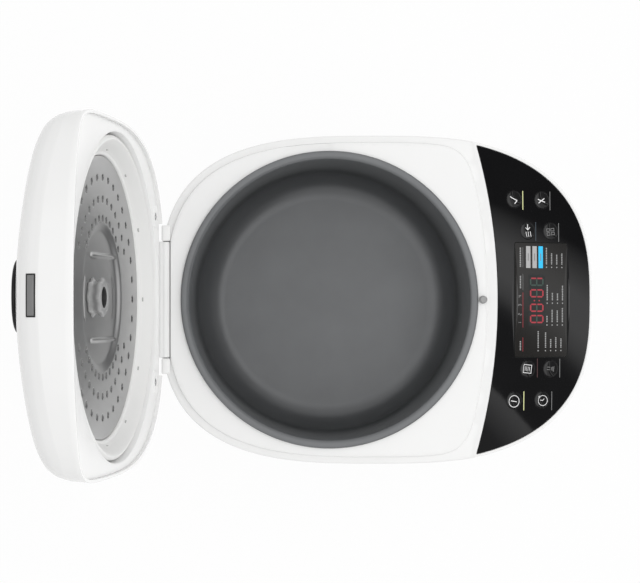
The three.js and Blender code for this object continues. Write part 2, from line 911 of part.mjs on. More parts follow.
// Striker
const strikerY = lidFrontY + lid.wall + striker.setback;
addToBase(
  "striker",
  turned(
    [
      [0, 0],
      [striker.footRadius, 0],
      [striker.footRadius, striker.footHeight],
      [striker.neckRadius, striker.footHeight],
      [striker.neckRadius, striker.neckTop],
      [striker.headRadius, striker.neckTop],
      [striker.headRadius, (striker.neckTop + striker.headTop) / 2],
      [striker.neckRadius, striker.headTop],
      [0, striker.headTop],
    ],
    smallSides,
  ),
  steel,
).position.set(0, strikerY, plateauZ + gap);

// Hinge pin and springs
const pin = bar(hinge.pinRadius, -pinHalfLength, pinHalfLength, hingeY, hingeZ, smallSides / 2);
addToBase("hinge_pin", pin, steel);
for (const [name, side] of [
  ["lid_spring_left", -1],
  ["lid_spring_right", 1],
]) {
  const length = hinge.springPocketLength - 2 * gap;
  const mesh = addToBase(
    name,
    coil(hinge.springRadius, hinge.springWire, length, hinge.springTurns),
    springSteel,
  );
  mesh.rotation.y = (side * Math.PI) / 2;
  mesh.position.set(side * (troughHalfLength + gap), hingeY, hingeZ);
}

// Chamber, heater and sensor
const chamberOuter = bowl.lipRadius - bowl.shoulder + chamber.clearance + chamber.wall;
const chamberTop = ledgeZ - shell.deckThickness - gap;
addToBase(
  "inner_chamber",
  turned([
    [chamber.floorHole, chamber.floorZ],
    [chamberOuter, chamber.floorZ],
    [chamberOuter, chamberTop - chamber.wall],
    [chamberOuter + chamber.flange, chamberTop - chamber.wall],
    [chamberOuter + chamber.flange, chamberTop],
    [chamberOuter - chamber.wall, chamberTop],
    [chamberOuter - chamber.wall, chamber.floorZ + chamber.wall],
    [chamber.floorHole, chamber.floorZ + chamber.wall],
  ], hiddenSides),
  aluminium,
);

const bandInner = chamberOuter + gap;
const bandLow = heaterBand.centreZ - heaterBand.height / 2;
addToBase(
  "side_heater_band",
  turned([
    [bandInner, bandLow],
    [bandInner + heaterBand.thickness, bandLow],
    [bandInner + heaterBand.thickness, bandLow + heaterBand.height],
    [bandInner, bandLow + heaterBand.height],
  ], hiddenSides),
  foil,
);

const plateLow = chamber.floorZ + chamber.wall + gap;
const plateTop = heaterSpace - gap;
function makeHeatingPlate() {
  const coilIn = plate.coilRadius - plate.coilHalfWidth;
  const coilOut = plate.coilRadius + plate.coilHalfWidth;
  let body = turned([
    [plate.hole, plateLow],
    [coilIn, plateLow],
    [coilIn + plate.coilHalfWidth / 2, plateLow - plate.coilDrop],
    [coilOut - plate.coilHalfWidth / 2, plateLow - plate.coilDrop],
    [coilOut, plateLow],
    [plate.radius - plate.chamfer, plateLow],
    [plate.radius, plateLow + plate.chamfer],
    [plate.radius, plateTop - plate.chamfer],
    [plate.radius - plate.chamfer, plateTop],
    [plate.hole, plateTop],
  ], hiddenSides);
  const half = plate.terminalSize / 2;
  for (const side of [-1, 1]) {
    const angle = -Math.PI / 2 + side * plate.terminalAngle;
    const x = plate.coilRadius * Math.cos(angle);
    const y = plate.coilRadius * Math.sin(angle);
    const low = plateLow - plate.coilDrop - plate.terminalLength;
    body = body.add(block(x - half, x + half, y - half, y + half, low, plateLow));
  }
  return body;
}
addToBase("heating_plate", makeHeatingPlate(), castMetal);

const cupInner = sensor.radius + sensor.cupClearance;
const cupOuter = cupInner + sensor.cupWall;
const cupTop = plateLow - gap;
const cupLow = cupTop - sensor.cupDepth;
addToBase(
  "sensor_bracket",
  turned([
    [sensor.cupHole, cupLow],
    [cupOuter, cupLow],
    [cupOuter, cupTop - sensor.cupWall],
    [sensor.flangeRadius, cupTop - sensor.cupWall],
    [sensor.flangeRadius, cupTop],
    [cupInner, cupTop],
    [cupInner, cupLow + sensor.cupWall],
    [sensor.cupHole, cupLow + sensor.cupWall],
  ], hiddenSides),
  steel,
);

const sensorLow = plateTop - sensor.length;
addToBase(
  "temperature_sensor",
  turned([
    [sensor.radius - sensor.wall, sensorLow],
    [sensor.radius, sensorLow],
    [sensor.radius, plateTop - sensor.wall],
    [sensor.radius - sensor.wall, plateTop],
    [0, plateTop],
    [0, plateTop - sensor.topThickness],
    [sensor.radius - sensor.wall, plateTop - sensor.topThickness],
    [sensor.radius - sensor.wall, sensorLow],
  ], hiddenSides),
  aluminium,
);

const sensorSpringLow = cupLow + sensor.cupWall + gap;
const sensorSpringHeight = plateTop - sensor.topThickness - gap - sensorSpringLow;
addToBase(
  "sensor_spring",
  coil(sensor.springRadius, sensor.springWire, sensorSpringHeight, sensor.springTurns),
  springSteel,
).position.set(0, 0, sensorSpringLow);

// Power board
function makePowerBoard() {
  const low = coverTop + power.standoff + gap;
  const top = low + power.thickness;
  const front = bodyFrontY + power.rearMargin - power.standoffRadius;
  const rear = front + power.depth + 2 * power.standoffRadius;
  const { halfWidth: w, coilBlock: size } = power;
  let body = block(-w, w, front, rear, low, top);
  const near = front + power.standoffRadius;
  const sunk = top - gap;
  const blockX = -w + size / 2;
  body = body.add(block(blockX, blockX + size, near, near + size, sunk, top + power.coilHeight));
  const capacitorY = near + power.capacitorRadius;
  body = body.add(disk(power.capacitorRadius, sunk, top + power.capacitorHeight, 0, capacitorY));
  const relayX = w - power.relayLength - power.standoffRadius;
  const relayTop = top + power.capacitorHeight;
  return body.add(
    block(relayX, relayX + power.relayLength, near, near + power.relayDepth, sunk, relayTop),
  );
}
addToBase("power_board", makePowerBoard(), boardGreen);

// Bowl
function bowlProfile() {
  const wallOut = bowl.lipRadius - bowl.shoulder;
  const wallIn = wallOut - bowl.wall;
  const lipLow = rimZ - bowl.lipThickness;
  const cornerSteps = 4;
  const profile = [[0, heaterSpace]];
  const cornerOut = bowl.cornerRadius;
  for (let i = 0; i <= cornerSteps; i++) {
    const angle = (i / cornerSteps) * (Math.PI / 2);
    const x = wallOut - cornerOut + cornerOut * Math.sin(angle);
    profile.push([x, heaterSpace + cornerOut - cornerOut * Math.cos(angle)]);
  }
  profile.push([wallOut, lipLow]);
  profile.push([bowl.lipRadius, lipLow]);
  profile.push([bowl.lipRadius, rimZ - bowl.lipThickness / 2]);
  profile.push([bowl.lipRadius - bowl.lipThickness / 2, rimZ]);
  profile.push([wallIn + bowl.lipThickness / 2, rimZ]);
  profile.push([wallIn, rimZ - bowl.lipThickness]);
  const cornerIn = bowl.cornerRadius - bowl.wall;
  for (let i = cornerSteps; i >= 0; i--) {
    const angle = (i / cornerSteps) * (Math.PI / 2);
    const x = wallIn - cornerIn + cornerIn * Math.sin(angle);
    profile.push([x, heaterSpace + bowl.wall + cornerIn - cornerIn * Math.cos(angle)]);
  }
  profile.push([0, heaterSpace + bowl.wall]);
  return profile;
}
addToBase("cooking_bowl", turned(bowlProfile()), greyCoating);

// Levels inside the lid
const linerZ = hingeZ + lid.linerLevel;
const linerTop = linerZ + lid.linerThickness;
const pocketZ = hingeZ + lid.pocketDepth;
const pocketOuter = lid.pocketRadius + lid.linerThickness;
const pocketTop = pocketZ + lid.linerThickness;
const discZ = hingeZ + disc.level;
const discTop = discZ + disc.thickness;
const floorZ = discZ + disc.recess;
const floorTop = floorZ + disc.thickness;
const wellRadius = disc.floorRadius + disc.stepWidth + lid.wellMargin;
const wellZ = pocketZ + disc.recess;
const wellTop = wellZ + lid.linerThickness;
const bracketLow = linerTop + gap;
const bracketTop = bracketLow + bracket.thickness;

// Lid shell
// The crown, and the crease above the front wall, both fall towards the sides.
const crownHeight = (x) => domeHeight - lid.crownDrop * (Math.abs(x) / bodyHalfWidth) ** crownCurl;
const creaseHeight = (x) =>
  lid.crease - lid.creaseDrop * Math.min(Math.abs(x) / lid.creaseReach, 1) ** creaseCurl;

function lidRing(insetShare, heightShare, grow) {
  const inset = domeDraft + insetShare * lid.domeReach;
  return lidPlan(inset - grow).map((p) => {
    const crease = creaseHeight(p.x);
    const height = crease + heightShare * (crownHeight(p.x) - crease);
    return new THREE.Vector3(p.x, p.y, hingeZ + height + grow * heightShare);
  });
}

// The lid's outer form, grown outwards (or inwards when negative) by a given amount.
function lidForm(grow) {
  const rings = [atHeight(lidPlan(-grow), hingeZ + lid.edge)];
  domeInsetShares.forEach((share, i) => rings.push(lidRing(share, domeHeightShares[i], grow)));
  const top = rings.at(-1).map((p) => {
    const x = p.x * domeTopShare;
    const y = bodyCentreY + (p.y - bodyCentreY) * domeTopShare;
    return new THREE.Vector3(x, y, hingeZ + crownHeight(x) + grow);
  });
  return loft([...rings, top]);
}

// How far the lid's skin has drawn in at a height above its crease.
function skinInset(height) {
  const share = height / (domeHeight - lid.crease);
  const next = Math.max(domeHeightShares.findIndex((s) => s >= share), 1);
  const low = domeHeightShares[next - 1];
  const part = (share - low) / (domeHeightShares[next] - low);
  const insetShare = domeInsetShares[next - 1] + part * (domeInsetShares[next] - domeInsetShares[next - 1]);
  return domeDraft + insetShare * lid.domeReach;
}

const buttonLow = hingeZ + button.low;
const buttonHigh = buttonLow + button.height;
const flangeSetback = skinInset(button.low + button.height - lid.crease) + lid.wall + button.flangeClearance;
const buttonDepth = flangeSetback + button.flangeThickness + button.backLength;
const bossTopZ = hingeZ + domeHeight;
function makeLidCover() {
  const outside = lidForm(0);
  const inside = lidForm(-lid.wall).add(prism(lidPlan(lid.wall), hingeZ - overrun, hingeZ + lid.edge + gap));
  let body = outside.subtract(inside);
  const bossLow = hingeZ + lid.linerLevel + lid.linerThickness + gap;
  for (const side of [-1, 1]) {
    const x = side * lidScrew.x;
    const boss = disk(lidScrew.boss, bossLow, bossTopZ, x, lidScrewY).intersect(lidForm(-lid.wall / 2));
    body = body.add(boss);
    body = body.subtract(disk(screw.hole, bossLow - overrun, bossLow + lidScrew.length, x, lidScrewY));
  }
  const notch = lid.notchHalfWidth;
  const notchTop = bracketTop + gap;
  body = body.subtract(block(-notch, notch, bowl.lipRadius, hingeY + overrun, hingeZ - overrun, notchTop));
  body = body.subtract(disk(duct.radius + 2 * gap, hingeZ, bossTopZ + overrun, 0, hubY));
  const holeX = button.halfLength + key.clearance;
  return body.subtract(
    block(
      -holeX,
      holeX,
      lidFrontY - overrun,
      lidFrontY + buttonDepth,
      buttonLow - key.clearance,
      buttonHigh + key.clearance,
    ),
  );
}
addToLid("lid_cover", makeLidCover(), whitePlastic);

// Lid liner with the round pocket
const spring = buttonSpring;
const springMiddleZ = (buttonLow + buttonHigh) / 2;
const buttonRearY = lidFrontY + buttonDepth;
const springEndY = buttonRearY + gap + spring.length;

function makeLidLiner() {
  let body = prism(lidPlan(lid.wall + 2 * gap), linerZ, linerTop);
  body = body.subtract(disk(lid.pocketRadius + gap, linerZ - overrun, linerTop + overrun, 0, 0, roundSides));
  body = body.add(
    turned([
      [0, wellZ],
      [wellRadius, wellZ],
      [wellRadius, pocketZ],
      [lid.pocketRadius, pocketZ],
      [lid.pocketRadius, linerZ],
      [pocketOuter, linerZ],
      [pocketOuter, pocketTop],
      [wellRadius + lid.linerThickness, pocketTop],
      [wellRadius + lid.linerThickness, wellTop],
      [0, wellTop],
    ]),
  );
  body = body.subtract(disk(duct.hole, wellZ - overrun, wellTop + overrun, 0, hubY));
  const slot = latch.slotHalfWidth;
  const slotHigh = plateauZ + gap + striker.headTop + 2 * gap;
  const slotRear = strikerY + striker.footRadius + gap;
  body = body.subtract(block(-slot, slot, lidFrontY, slotRear, linerZ - overrun, slotHigh));
  const half = hinge.barrelHalfLength;
  const relief = hingeY - lid.linerRelief;
  const reliefX = lid.notchHalfWidth;
  body = body.subtract(
    block(half, reliefX, relief, hingeY, hingeZ, rimZ + overrun).add(
      block(-reliefX, -half, relief, hingeY, hingeZ, rimZ + overrun),
    ),
  );
  const postW = spring.postHalfWidth;
  const postTop = springMiddleZ + spring.postRise;
  const postY = springEndY + gap;
  body = body.add(block(-postW, postW, postY, postY + spring.post, pocketTop - gap, postTop));
  for (const side of [-1, 1]) {
    const x = side * lidScrew.x;
    const { padHalfWidth: w, padHalfDepth: d, padDrop } = lidScrew;
    const y = lidScrewY;
    body = body.add(block(x - w, x + w, y - d, y + d, linerZ - padDrop, linerZ + gap));
    body = body.subtract(disk(screw.hole, linerZ - overrun, linerTop + overrun, x, y));
    const headHigh = linerZ - padDrop + screw.headHeight + gap;
    body = body.subtract(disk(screw.headRadius + gap, linerZ - overrun, headHigh, x, y));
  }
  return body;
}
addToLid("lid_liner", makeLidLiner(), whitePlastic);

// Hinge bracket: a plate behind the pocket that carries the barrel on a web
function makeHingeBracket() {
  const half = hinge.barrelHalfLength;
  const front = pocketOuter + gap;
  const rear = hingeY + bracket.overhang;
  const webFront = hingeY - hinge.barrelRadius + gap;
  let body = block(-half, half, front, rear, bracketLow, bracketTop);
  body = body.add(block(-half, half, webFront, rear, hingeZ, bracketLow + gap));
  body = body.add(bar(hinge.barrelRadius, -half, half, hingeY, hingeZ, barrelSides));
  return body.subtract(bar(pinBore, -half - overrun, half + overrun, hingeY, hingeZ));
}
addToLid("hinge_bracket", makeHingeBracket(), whitePlastic);

[-1, 1].forEach((side) => {
  const name = side < 0 ? "lid_screw_left" : "lid_screw_right";
  const z = linerZ - lidScrew.padDrop + gap / 2;
  const geometry = geometryOf(makeScrew(lidScrew.length));
  geometry.translate(side * lidScrew.x, lidScrewY, z);
  addToLid(name, solid(geometry), steel);
});

// Inner lid
function makeInnerLid() {
  const stepEnd = disc.floorRadius + disc.stepWidth;
  const body = turned([
    [0, floorZ],
    [disc.floorRadius, floorZ],
    [stepEnd, discZ],
    [disc.radius, discZ],
    [disc.radius, discTop + disc.rim - disc.thickness],
    [disc.radius - disc.thickness, discTop + disc.rim - disc.thickness],
    [disc.radius - disc.thickness, discTop],
    [stepEnd, discTop],
    [disc.floorRadius, floorTop],
    [0, floorTop],
  ]);
  return body.subtract(disk(disc.hole, floorZ - overrun, floorTop + overrun, 0, hubY));
}
addToLid("inner_lid", makeInnerLid(), aluminium);

function makeInnerSeal() {
  const inner = disc.radius + seal.clearance;
  const outer = bowl.lipRadius - seal.outerSetback;
  const crest = bowl.lipRadius - seal.crestSetback;
  const crestZ = rimZ + seal.crestGap;
  const top = discTop + disc.rim - disc.thickness;
  return turned([
    [inner, discZ],
    [crest - seal.lip, crestZ + seal.lip],
    [crest, crestZ],
    [outer, crestZ + seal.lip],
    [outer, top - seal.lip],
    [outer - seal.lip, top],
    [inner, top],
  ]);
}
addToLid("inner_lid_seal", makeInnerSeal(), silicone);

function makeHub() {
  const top = floorZ - gap;
  const low = top - hub.height;
  const lobed = [];
  const points = hub.lobes * hub.pointsPerLobe;
  for (let i = 0; i < points; i++) {
    const angle = (i / points) * 2 * Math.PI;
    const radius = hub.radius + hub.lobe * Math.cos(hub.lobes * angle);
    lobed.push(new THREE.Vector2(radius * Math.cos(angle), radius * Math.sin(angle)));
  }
  const outline = (share) => lobed.map((p) => new THREE.Vector2(p.x * share, hubY + p.y * share));
  const smaller = outline((hub.radius - hub.lobe) / hub.radius);
  const full = outline(1);
  const body = loft([atHeight(smaller, low), atHeight(full, low + hub.lobe), atHeight(full, top)]);
  const bossTop = floorTop + hub.bossRise;
  const whole = body.add(disk(hub.bossRadius, top - gap, bossTop, 0, hubY));
  return whole.subtract(disk(hub.bore, low - overrun, bossTop + overrun, 0, hubY));
}
addToLid("valve_hub", makeHub(), greyGloss);

// Steam way
const ductInner = duct.radius - duct.wall;
const ductLow = wellZ + gap;
const ductFlangeZ = wellTop + gap;
const domeTop = hingeZ + domeHeight;
addToLid(
  "steam_duct",
  turned(
    [
      [ductInner, ductLow],
      [duct.radius, ductLow],
      [duct.radius, ductFlangeZ],
      [duct.flangeRadius, ductFlangeZ],
      [duct.flangeRadius, ductFlangeZ + duct.flangeThickness],
      [duct.radius, ductFlangeZ + duct.flangeThickness],
      [duct.radius, domeTop],
      [ductInner, domeTop],
    ],
    smallSides,
    hubY,
  ),
  whitePlastic,
);
addToLid(
  "duct_seal",
  turned(
    [
      [hub.bossRadius + gap, floorTop + gap],
      [duct.sealRadius, floorTop + gap],
      [duct.sealRadius, wellZ - gap],
      [hub.bossRadius + gap, wellZ - gap],
    ],
    smallSides,
    hubY,
  ),
  silicone,
);

// Black strip on the lid's top and the steam cap in it
const trimFrontCentreY = lidFrontY + trim.frontSetback + trim.halfWidth;
function makeTrim() {
  const endSteps = 12;
  const corners = [];
  for (const [centreY, start] of [
    [trim.rearCentreY, 0],
    [trimFrontCentreY, Math.PI],
  ]) {
    for (let i = 0; i <= endSteps; i++) {
      const angle = start + (i / endSteps) * Math.PI;
      corners.push([trim.halfWidth * Math.cos(angle), centreY + trim.halfWidth * Math.sin(angle)]);
    }
  }
  const strip = cut(corners, hingeZ + lid.crease, domeTop + overrun);
  const skin = lidForm(gap + trim.thickness).subtract(lidForm(gap));
  const room = disk(cap.radius + gap, hingeZ, domeTop + 2 * overrun, 0, hubY, roundSides);
  return skin.intersect(strip).subtract(room);
}
addToLid("lid_top_trim", makeTrim(), blackGloss);

function makeSteamCap() {
  const low = domeTop + gap + gap;
  const under = domeTop + gap + trim.thickness + cap.rise - cap.plate;
  const top = under + cap.plate;
  const plugLow = domeTop - cap.plugDepth;
  let body = turned(
    [
      [cap.plugRadius - cap.plugWall, plugLow],
      [cap.plugRadius, plugLow],
      [cap.plugRadius, under],
      [cap.radius - cap.skirt, under],
      [cap.radius - cap.skirt, low],
      [cap.radius, low],
      [cap.radius, top - cap.plate / 2],
      [cap.radius - cap.plate / 2, top],
      [cap.plugRadius - cap.plugWall, top],
    ],
    hiddenSides,
    hubY,
  );
  const half = cap.ventWidth / 2;
  const bridge = cap.plugRadius - cap.plugWall + gap;
  body = body.add(disk(bridge, under, top, 0, hubY));
  for (const turn of [0, 1, 2]) {
    const geometry = new THREE.BoxGeometry(2 * cap.plugRadius + overrun, half, under - domeTop);
    geometry.rotateZ((turn * Math.PI) / 3);
    geometry.translate(0, hubY, (under + domeTop) / 2);
    body = body.subtract(solid(geometry));
  }
  return body;
}
addToLid("steam_cap", makeSteamCap(), blackPlastic);

// Release button, its spring and the latch
const camSlope = button.travel / latch.travel;
const camY = (x) => lidFrontY + latch.camSetback + camSlope * (x + latch.legStart);

const bridgeLow = pocketTop + 2 * gap;
const tabLow = bridgeLow + latch.bridge;
const tabHigh = tabLow + latch.tabHeight;
const latchFrontY = lidFrontY + lid.wall + domeDraft + latch.frontClearance;

function makeButton() {
  const { halfLength: w } = button;
  let body = block(-w, w, lidFrontY - overrun, buttonRearY, buttonLow, buttonHigh);
  body = body.intersect(lidForm(button.proud));
  const flangeY = lidFrontY + flangeSetback;
  const flangeW = w + button.flange;
  body = body.add(
    block(-flangeW, flangeW, flangeY, flangeY + button.flangeThickness, buttonLow, buttonHigh),
  );
  const back = 2 * gap;
  const wedgeStart = -latch.bridgeEnd - latch.travel / 2;
  const wedgeEnd = -latch.legStart;
  const frontY = latchFrontY + gap;
  const corners = [
    [wedgeStart, frontY],
    [wedgeEnd, frontY],
    [wedgeEnd, camY(wedgeEnd) - back],
    [wedgeStart, camY(wedgeStart) - back],
  ];
  return body.add(cut(corners, tabLow + gap, buttonLow + gap));
}
addToLid("release_button", makeButton(), greyGloss);

const springGeometry = geometryOf(coil(spring.radius, spring.wire, spring.length, spring.turns));
springGeometry.rotateX(-Math.PI / 2);
springGeometry.translate(0, buttonRearY + gap, springMiddleZ);
addToLid("button_spring", solid(springGeometry), springSteel);

function makeLatch() {
  const fingerLow = linerTop + gap;
  const fingerHigh = fingerLow + latch.plate;
  const fingerRear = strikerY - striker.neckRadius - gap;
  const fingerFront = fingerRear - latch.fingerWidth;
  let body = block(-latch.legEnd, latch.fingerReach, fingerFront, fingerRear, fingerLow, fingerHigh);
  const legRear = latchFrontY + latch.legThickness;
  body = body.add(
    block(-latch.legEnd, -latch.legStart, latchFrontY, legRear, fingerLow, tabLow),
  );
  const tabRear = camY(-latch.legStart) + latch.camThickness;
  body = body.add(
    block(-latch.bridgeEnd, -latch.legStart, latchFrontY, tabRear, bridgeLow, tabLow),
  );
  const corners = [
    [-latch.bridgeEnd, camY(-latch.bridgeEnd)],
    [-latch.legStart, camY(-latch.legStart)],
    [-latch.legStart, tabRear],
    [-latch.bridgeEnd, tabRear],
  ];
  return body.add(cut(corners, tabLow - gap, tabHigh));
}
addToLid("latch_slider", makeLatch(), steel);

// The whole stands on z = 0 with its open-lid outline centred on the origin.
multicooker.updateMatrixWorld(true);
const extent = new THREE.Box3().setFromObject(multicooker, true);
base.position.y = -(extent.min.y + extent.max.y) / 2;
lidPivot.position.y += base.position.y;

export default multicooker;
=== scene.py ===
"""Looks of the open multicooker: fine surfaces and materials on the fixed frame."""

import math

import bpy
import bmesh
from mathutils import Matrix, Vector
from mathutils.geometry import delaunay_2d_cdt


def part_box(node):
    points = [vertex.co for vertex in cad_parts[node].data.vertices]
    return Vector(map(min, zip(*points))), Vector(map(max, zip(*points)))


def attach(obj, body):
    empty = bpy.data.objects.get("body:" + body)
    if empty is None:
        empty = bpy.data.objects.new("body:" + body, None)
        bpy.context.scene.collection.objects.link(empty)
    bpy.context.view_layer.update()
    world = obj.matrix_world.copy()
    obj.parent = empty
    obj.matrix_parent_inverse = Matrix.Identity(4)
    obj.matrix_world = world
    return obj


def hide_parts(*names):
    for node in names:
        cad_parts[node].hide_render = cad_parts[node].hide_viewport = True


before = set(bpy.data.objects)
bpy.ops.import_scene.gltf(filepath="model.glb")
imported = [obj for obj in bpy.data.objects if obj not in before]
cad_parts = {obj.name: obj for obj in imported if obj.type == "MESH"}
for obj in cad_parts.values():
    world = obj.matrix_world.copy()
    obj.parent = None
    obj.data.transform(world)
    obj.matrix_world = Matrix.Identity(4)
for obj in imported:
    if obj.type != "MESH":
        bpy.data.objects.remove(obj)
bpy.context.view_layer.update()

# Sizes in millimetres, as in the solid model
MM = 0.001
TURN = 2 * math.pi

BOWL_RIM_Z = 196.2
BODY_HALF, BODY_MID_Y, BODY_REAR_Y, BODY_FRONT_Y = 132.6, -37.0, 137.0, -218.5
REAR_CURL, FRONT_CURL = 3.0, 2.83
BODY_FOOT_Z, WALL = 7.6, 2.5
LEDGE_Z = 191.5
PLATEAU_Z = 193.6
LID_ARC_R = 454.2
LID_FRONT_Y = -131.2
ARC_Y = LID_FRONT_Y + LID_ARC_R
HINGE_Y, HINGE_Z = 132.5, 190.5
OPEN = math.radians(99)
SLOPE = math.radians(24)
SLOPE_R = LID_ARC_R + 2.3
HOLE_R = 117.5
PANEL_HALF, PANEL_INSET, PANEL_CURL, PANEL_R = 130.5, 2.4, 2.77, LID_ARC_R + 5.1
GAP = 0.3
PROUD = 0.2

low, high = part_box("cooking_bowl")
SHIFT_Y = (low.y + high.y) / 2 / MM

PLAN_STEPS = 240


# Outlines

def polar(radius, angle, x=0.0, y=0.0):
    return (x + radius * math.cos(angle), y + radius * math.sin(angle))


def round_angles(steps=PLAN_STEPS):
    return [i / steps * TURN for i in range(steps)]


def circle(radius, steps=PLAN_STEPS, x=0.0, y=0.0):
    return [polar(radius, a, x, y) for a in round_angles(steps)]


def arc_points(x, y, radius, start, stop, steps):
    turns = [math.radians(start + (stop - start) * i / steps) for i in range(steps + 1)]
    return [polar(radius, a, x, y) for a in turns]


def quarter(radius, steps):
    """How far in and how far down each point of a rounded edge lies, from the wall to the top."""
    turns = [k / steps * math.pi / 2 for k in range(steps + 1)]
    return [(radius * (1 - math.cos(a)), radius * (1 - math.sin(a))) for a in turns]


def oval_radius(angle, half_x, half_y, curl):
    across = abs(math.cos(angle)) / half_x
    along = abs(math.sin(angle)) / half_y
    return (across ** curl + along ** curl) ** (-1 / curl)


def body_radius(angle, inset):
    rear = math.sin(angle) > 0
    depth = BODY_REAR_Y - BODY_MID_Y if rear else BODY_MID_Y - BODY_FRONT_Y
    return oval_radius(angle, BODY_HALF - inset, depth - inset, REAR_CURL if rear else FRONT_CURL)


def arc_radius(angle, radius):
    """Distance from the middle of the body's outline to the lid's wide front arc."""
    away = BODY_MID_Y - ARC_Y
    return -away * math.sin(angle) + math.sqrt(radius ** 2 - (away * math.cos(angle)) ** 2)


def softer(a, b, sharpness=14):
    """The smaller of two radii, with a soft change from one to the other."""
    return (a ** -sharpness + b ** -sharpness) ** (-1 / sharpness)


def lid_radius(angle, inset):
    r = softer(body_radius(angle, 2.5 + inset), arc_radius(angle, LID_ARC_R - inset))
    if math.sin(angle) > 0:
        r = min(r, (HINGE_Y - 2.5 - inset - BODY_MID_Y) / math.sin(angle))
    return r


def plan(radius_at):
    return [polar(radius_at(a), a, 0, BODY_MID_Y) for a in round_angles()]


def body_plan(inset):
    return plan(lambda a: body_radius(a, inset))


def lid_plan(inset):
    return plan(lambda a: lid_radius(a, inset))


def seat_plan(inset):
    arc = LID_ARC_R - 2.2 - 1.4 - inset
    return plan(lambda a: softer(body_radius(a, 5.7 + inset), arc_radius(a, arc)))


def panel_plan(inset, inner_radius):
    """The fascia's outline: the body's curve in front, the lid's arc behind, with small round corners."""
    def front(angle):
        depth = BODY_MID_Y - BODY_FRONT_Y - PANEL_INSET - inset
        return oval_radius(angle, PANEL_HALF - inset, depth, PANEL_CURL)

    def back(angle):
        return arc_radius(angle, inner_radius)

    before, left = math.pi, 1.5 * math.pi
    for _ in range(50):
        middle = (before + left) / 2
        if front(middle) > back(middle):
            left = middle
        else:
            before = middle
    right = 3 * math.pi - left
    steps, corner, corner_steps, least_turn = 120, 2.2, 5, 25
    turns = [left + (right - left) * i / steps for i in range(steps + 1)]
    outer, inner = ([polar(edge(a), a, 0, BODY_MID_Y) for a in turns] for edge in (front, back))
    return rounded(outer + inner[-2:0:-1], corner, corner_steps, least_turn)


def rounded(points, radius, steps=4, least=12, closed=True):
    """Rounds each corner of a polyline that turns more than `least` degrees."""
    count = len(points)
    out = []
    for i in range(count):
        p = Vector(points[i])
        if not closed and i in (0, count - 1):
            out.append(tuple(p))
            continue
        u, v = Vector(points[i - 1]) - p, Vector(points[(i + 1) % count]) - p
        if u.length < 1e-6 or v.length < 1e-6:
            continue
        turn = math.pi - u.angle(v)
        if math.degrees(turn) < least:
            out.append(tuple(p))
            continue
        reach = min(radius * math.tan(turn / 2), u.length * 0.48, v.length * 0.48)
        s, e = p + u.normalized() * reach, p + v.normalized() * reach
        for k in range(steps + 1):
            t = k / steps
            out.append(tuple(s * (1 - t) ** 2 + p * 2 * t * (1 - t) + e * t ** 2))
    return out


def offset(loop, amount):
    """Moves a counter-clockwise loop outwards by amount, along its corner normals."""
    out = []
    for i in range(len(loop)):
        p, a, b = Vector(loop[i]), Vector(loop[i - 1]), Vector(loop[(i + 1) % len(loop)])
        d1, d2 = (p - a).normalized(), (b - p).normalized()
        n1, n2 = Vector((d1.y, -d1.x)), Vector((d2.y, -d2.x))
        n = n1 + n2
        n = n1 if n.length < 1e-6 else n.normalized()
        scale = 1 / max(0.35, n.dot(n1))
        out.append(tuple(p + n * amount * scale))
    return out


def rectangle(x0, x1, y0, y1, corner=0.0, steps=5):
    loop = [(x0, y0), (x1, y0), (x1, y1), (x0, y1)]
    return rounded(loop, corner, steps) if corner else loop


def smooth_step(a, b, x):
    t = min(1.0, max(0.0, (x - a) / (b - a)))
    return t * t * (3 - 2 * t)


def chaikin(points, rounds=3):
    """Cuts the corners of an open polyline again and again."""
    for _ in range(rounds):
        new = [points[0]]
        for p, q in zip(points, points[1:]):
            for share in (0.75, 0.25):
                new.append(tuple(share * a + (1 - share) * b for a, b in zip(p, q)))
        points = new + [points[-1]]
    return points


def slope_z(x, y, drop=0.0, blend=1.2):
    """Height of the top, flat behind and falling as a cone in front, with a soft crease."""
    r = math.hypot(x, y - ARC_Y) - SLOPE_R
    if r <= -blend:
        fall = 0.0
    elif r >= blend:
        fall = r
    else:
        fall = (r + blend) ** 2 / (4 * blend)
    return LEDGE_Z - drop - fall * math.tan(SLOPE)


def below(drop):
    """A height function this far under the top."""
    return lambda x, y: slope_z(x, y, drop)


# Mesh building

def base_place(p):
    return (p[0] * MM, (p[1] + SHIFT_Y) * MM, p[2] * MM)


def lid_place(p):
    """Turns a point of the closed lid about the hinge, to where it is on the open one."""
    y, z = p[1] - HINGE_Y, p[2] - HINGE_Z
    c, s = math.cos(OPEN), -math.sin(OPEN)
    return (p[0] * MM, (y * c - z * s + HINGE_Y + SHIFT_Y) * MM, (y * s + z * c + HINGE_Z) * MM)


def inside(loop, x, y):
    hit = False
    for (xi, yi), (xj, yj) in zip(loop, [loop[-1], *loop]):
        if (yi > y) != (yj > y) and x < (xj - xi) * (y - yi) / (yj - yi) + xi:
            hit = not hit
    return hit


